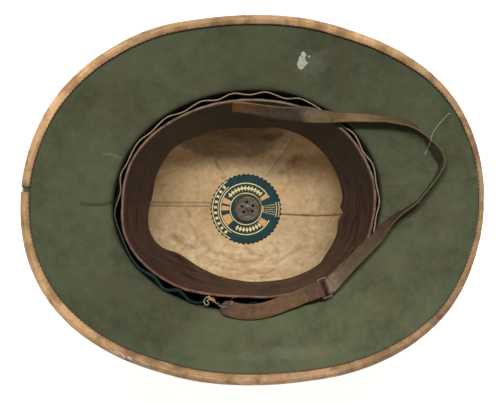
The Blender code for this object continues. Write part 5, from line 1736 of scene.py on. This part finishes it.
class HELMET_OT_marks(Operator):
    """Make the splash of paint on the brim and the loose threads."""
    bl_idname = "helmet.marks"
    bl_label = "Paint and threads"
    bl_options = {"REGISTER", "UNDO"}

    def execute(self, context):
        c = read(context.scene.helmet.colours)
        bpy.context.view_layer.update()
        brim = bpy.data.objects["brim_cloth"]
        paint = [self.patch([brim], np.array(PAINT_OUTLINE) * MM)]
        for x, y, r in PAINT_DOTS:
            a = turns(12)
            outline = np.stack([x + r * np.cos(a), y + 0.8 * r * np.sin(a)], axis=1) * MM
            paint.append(self.patch([brim], outline))
        fitted(model("paint_splash", paint, dried_whitewash(c)), "green_cloth")
        under = [brim, bpy.data.objects["strap_long"]]
        runs = [tube(self.laid(under, LOOSE_THREAD, 0.35), 0.26 * MM),
                tube(self.laid(under, STRAP_THREAD, 0.3), 0.22 * MM)]
        threads = model("loose_threads", runs, linen_thread("linen_thread", c.thread))
        fitted(threads, "strap_leather")
        loop, wisp = (self.finer(np.array(v) * MM, 70) for v in (HOOK_LOOP, HOOK_THREAD))
        ends = model("hook_threads", [tube(loop, 0.42 * MM * (1 + 0.3 * lumps(loop, 1.5)))],
                     linen_thread("pale_thread", linear("A3A27E")))
        fitted(ends, "hook_leather")
        under = [bpy.data.objects[n] for n in ("strap_short", "sweatband_leather", "brim_cloth",
                                               "winding_strip", "crown_cloth")]
        knots = [tube(wisp, 0.4 * MM * (1 + 0.3 * lumps(wisp, 1.2))),
                 tube(self.laid(under, HOOK_TIE, 0.4), 0.5 * MM)]
        fitted(model("hook_ties", knots, linen_thread("pink_thread", linear("94786A"))),
               "hook_leather")
        return {"FINISHED"}

    def finer(self, points, count):
        """This many points on a smooth curve through some others."""
        return curve(np.arange(len(points)), points, np.linspace(0, len(points) - 1, count))

    def laid(self, targets, plan, lift):
        """A thread's points on some pieces along a line in plan, its sharpest dips bridged."""
        points = np.array([on_top(targets, x * MM, y * MM, lift * MM)
                           for x, y in self.finer(plan, 60)])
        for _ in range(6):
            points[1:-1, 2] = np.maximum(points[1:-1, 2], 0.5 * (points[:-2, 2] + points[2:, 2]))
        return points

    def patch(self, targets, outline):
        """A thin splash whose rings run from its outline to its middle."""
        n = len(outline)
        at = np.linspace(0, n, 6 * n, endpoint=False)
        closed = np.vstack([outline[-2:], outline, outline[:3]])
        smooth = curve(np.arange(-2, n + 3), closed, at)
        middle = smooth.mean(axis=0)
        rings = []
        for share, lift in ((1.0, -0.2), (1.0, 0.06), (0.96, 0.16), (0.8, 0.2), (0.55, 0.24),
                            (0.3, 0.22), (0.06, 0.22)):
            flat = middle + (smooth - middle) * share
            rings.append([on_top(targets, x, y, lift * MM) for x, y in flat])
        rings.append([on_top(targets, *(middle + (p - middle) * 0.06), -0.2 * MM) for p in smooth])
        return Run(np.array(rings).transpose(1, 0, 2), True)


class HELMET_OT_stage(Operator):
    """Set the floor, the soft studio light and the camera."""
    bl_idname = "helmet.stage"
    bl_label = "Stage"
    bl_options = {"REGISTER", "UNDO"}

    def execute(self, context):
        st = read(context.scene.helmet.stage)
        span = 3.0
        mesh = bpy.data.meshes.new("floor")
        mesh.from_pydata([(x, y, 0.0) for x, y in ((-span, -span), (span, -span), (span, span),
                                                   (-span, span))], [], [(0, 1, 2, 3)])
        mesh.materials.append(sweep_paper(st))
        placed("floor", mesh)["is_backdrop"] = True
        self.softbox("key_light", (0.0, 0.68, 2.05), (0.0, 0.0, 0.1), (1.4, 0.22), st.key)
        scene = bpy.context.scene
        scene.world = world = bpy.data.worlds.new("studio")
        world.use_nodes = True
        background = world.node_tree.nodes["Background"]
        background.inputs["Color"].default_value = (1.0, 1.0, 1.0, 1.0)
        background.inputs["Strength"].default_value = st.fill
        scene.view_settings.view_transform = "Standard"
        data = bpy.data.cameras.new("camera")
        data.lens = st.lens
        data.sensor_width = 36.0
        data.clip_end = 10.0
        scene.camera = camera = placed("camera", data)
        camera.matrix_world = self.looking((st.camera_x, st.camera_y, st.camera_z),
                                           (0.0, 0.0, st.target))
        # The target's own pixel is 0.5 px right of the frame's middle and level with it
        data.shift_x = -0.5 / 500.0
        return {"FINISHED"}

    def looking(self, start, target):
        """A placing that looks from start to target with +Y upwards in the picture."""
        back = (Vector(start) - Vector(target)).normalized()
        right = Vector((0, 1, 0)).cross(back).normalized()
        up = back.cross(right)
        turn = Matrix((right, up, back)).transposed().to_4x4()
        return Matrix.Translation(start) @ turn

    def softbox(self, name, start, target, sides, power):
        """A rectangular light that looks at a target."""
        data = bpy.data.lights.new(name, "AREA")
        data.shape = "RECTANGLE"
        data.size, data.size_y = sides
        data.energy = power
        placed(name, data).matrix_world = self.looking(start, target)


STEPS = (HELMET_OT_stage, HELMET_OT_shell, HELMET_OT_linings, HELMET_OT_binding,
         HELMET_OT_sweatband, HELMET_OT_label, HELMET_OT_vent_cap, HELMET_OT_straps,
         HELMET_OT_buckle, HELMET_OT_marks)


class HELMET_PT_panel(Panel):
    """Lists the steps and the settings of the helmet."""
    bl_label = "Pith helmet"
    bl_idname = "HELMET_PT_panel"
    bl_space_type = "VIEW_3D"
    bl_region_type = "UI"
    bl_category = "Helmet"

    def draw(self, context):
        layout = self.layout
        for step in STEPS:
            layout.operator(step.bl_idname)
        for group in ("shell", "band", "straps", "colours", "stage"):
            box = layout.box()
            values = getattr(context.scene.helmet, group)
            for name in names_in(values):
                box.prop(values, name)


CLASSES = (HELMET_PG_shell, HELMET_PG_band, HELMET_PG_straps, HELMET_PG_colours,
           HELMET_PG_stage, HELMET_PG_settings, *STEPS, HELMET_PT_panel)


def register():
    for made in CLASSES:
        bpy.utils.register_class(made)
    bpy.types.Scene.helmet = PointerProperty(type=HELMET_PG_settings)


def unregister():
    del bpy.types.Scene.helmet
    for made in reversed(CLASSES):
        bpy.utils.unregister_class(made)


def main():
    """Make every piece in order."""
    register()
    bpy.ops.helmet.stage()
    bpy.ops.helmet.shell()
    bpy.ops.helmet.linings()
    bpy.ops.helmet.binding()
    bpy.ops.helmet.sweatband()
    bpy.ops.helmet.label()
    bpy.ops.helmet.vent_cap()
    bpy.ops.helmet.straps()
    bpy.ops.helmet.buckle()
    bpy.ops.helmet.marks()
    boxes = {"cad": CAD_BOX, "visual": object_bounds()}
    {k: [[float(x) for x in corner] for corner in box] for k, box in boxes.items()}


if __name__ == "__main__":
    main()
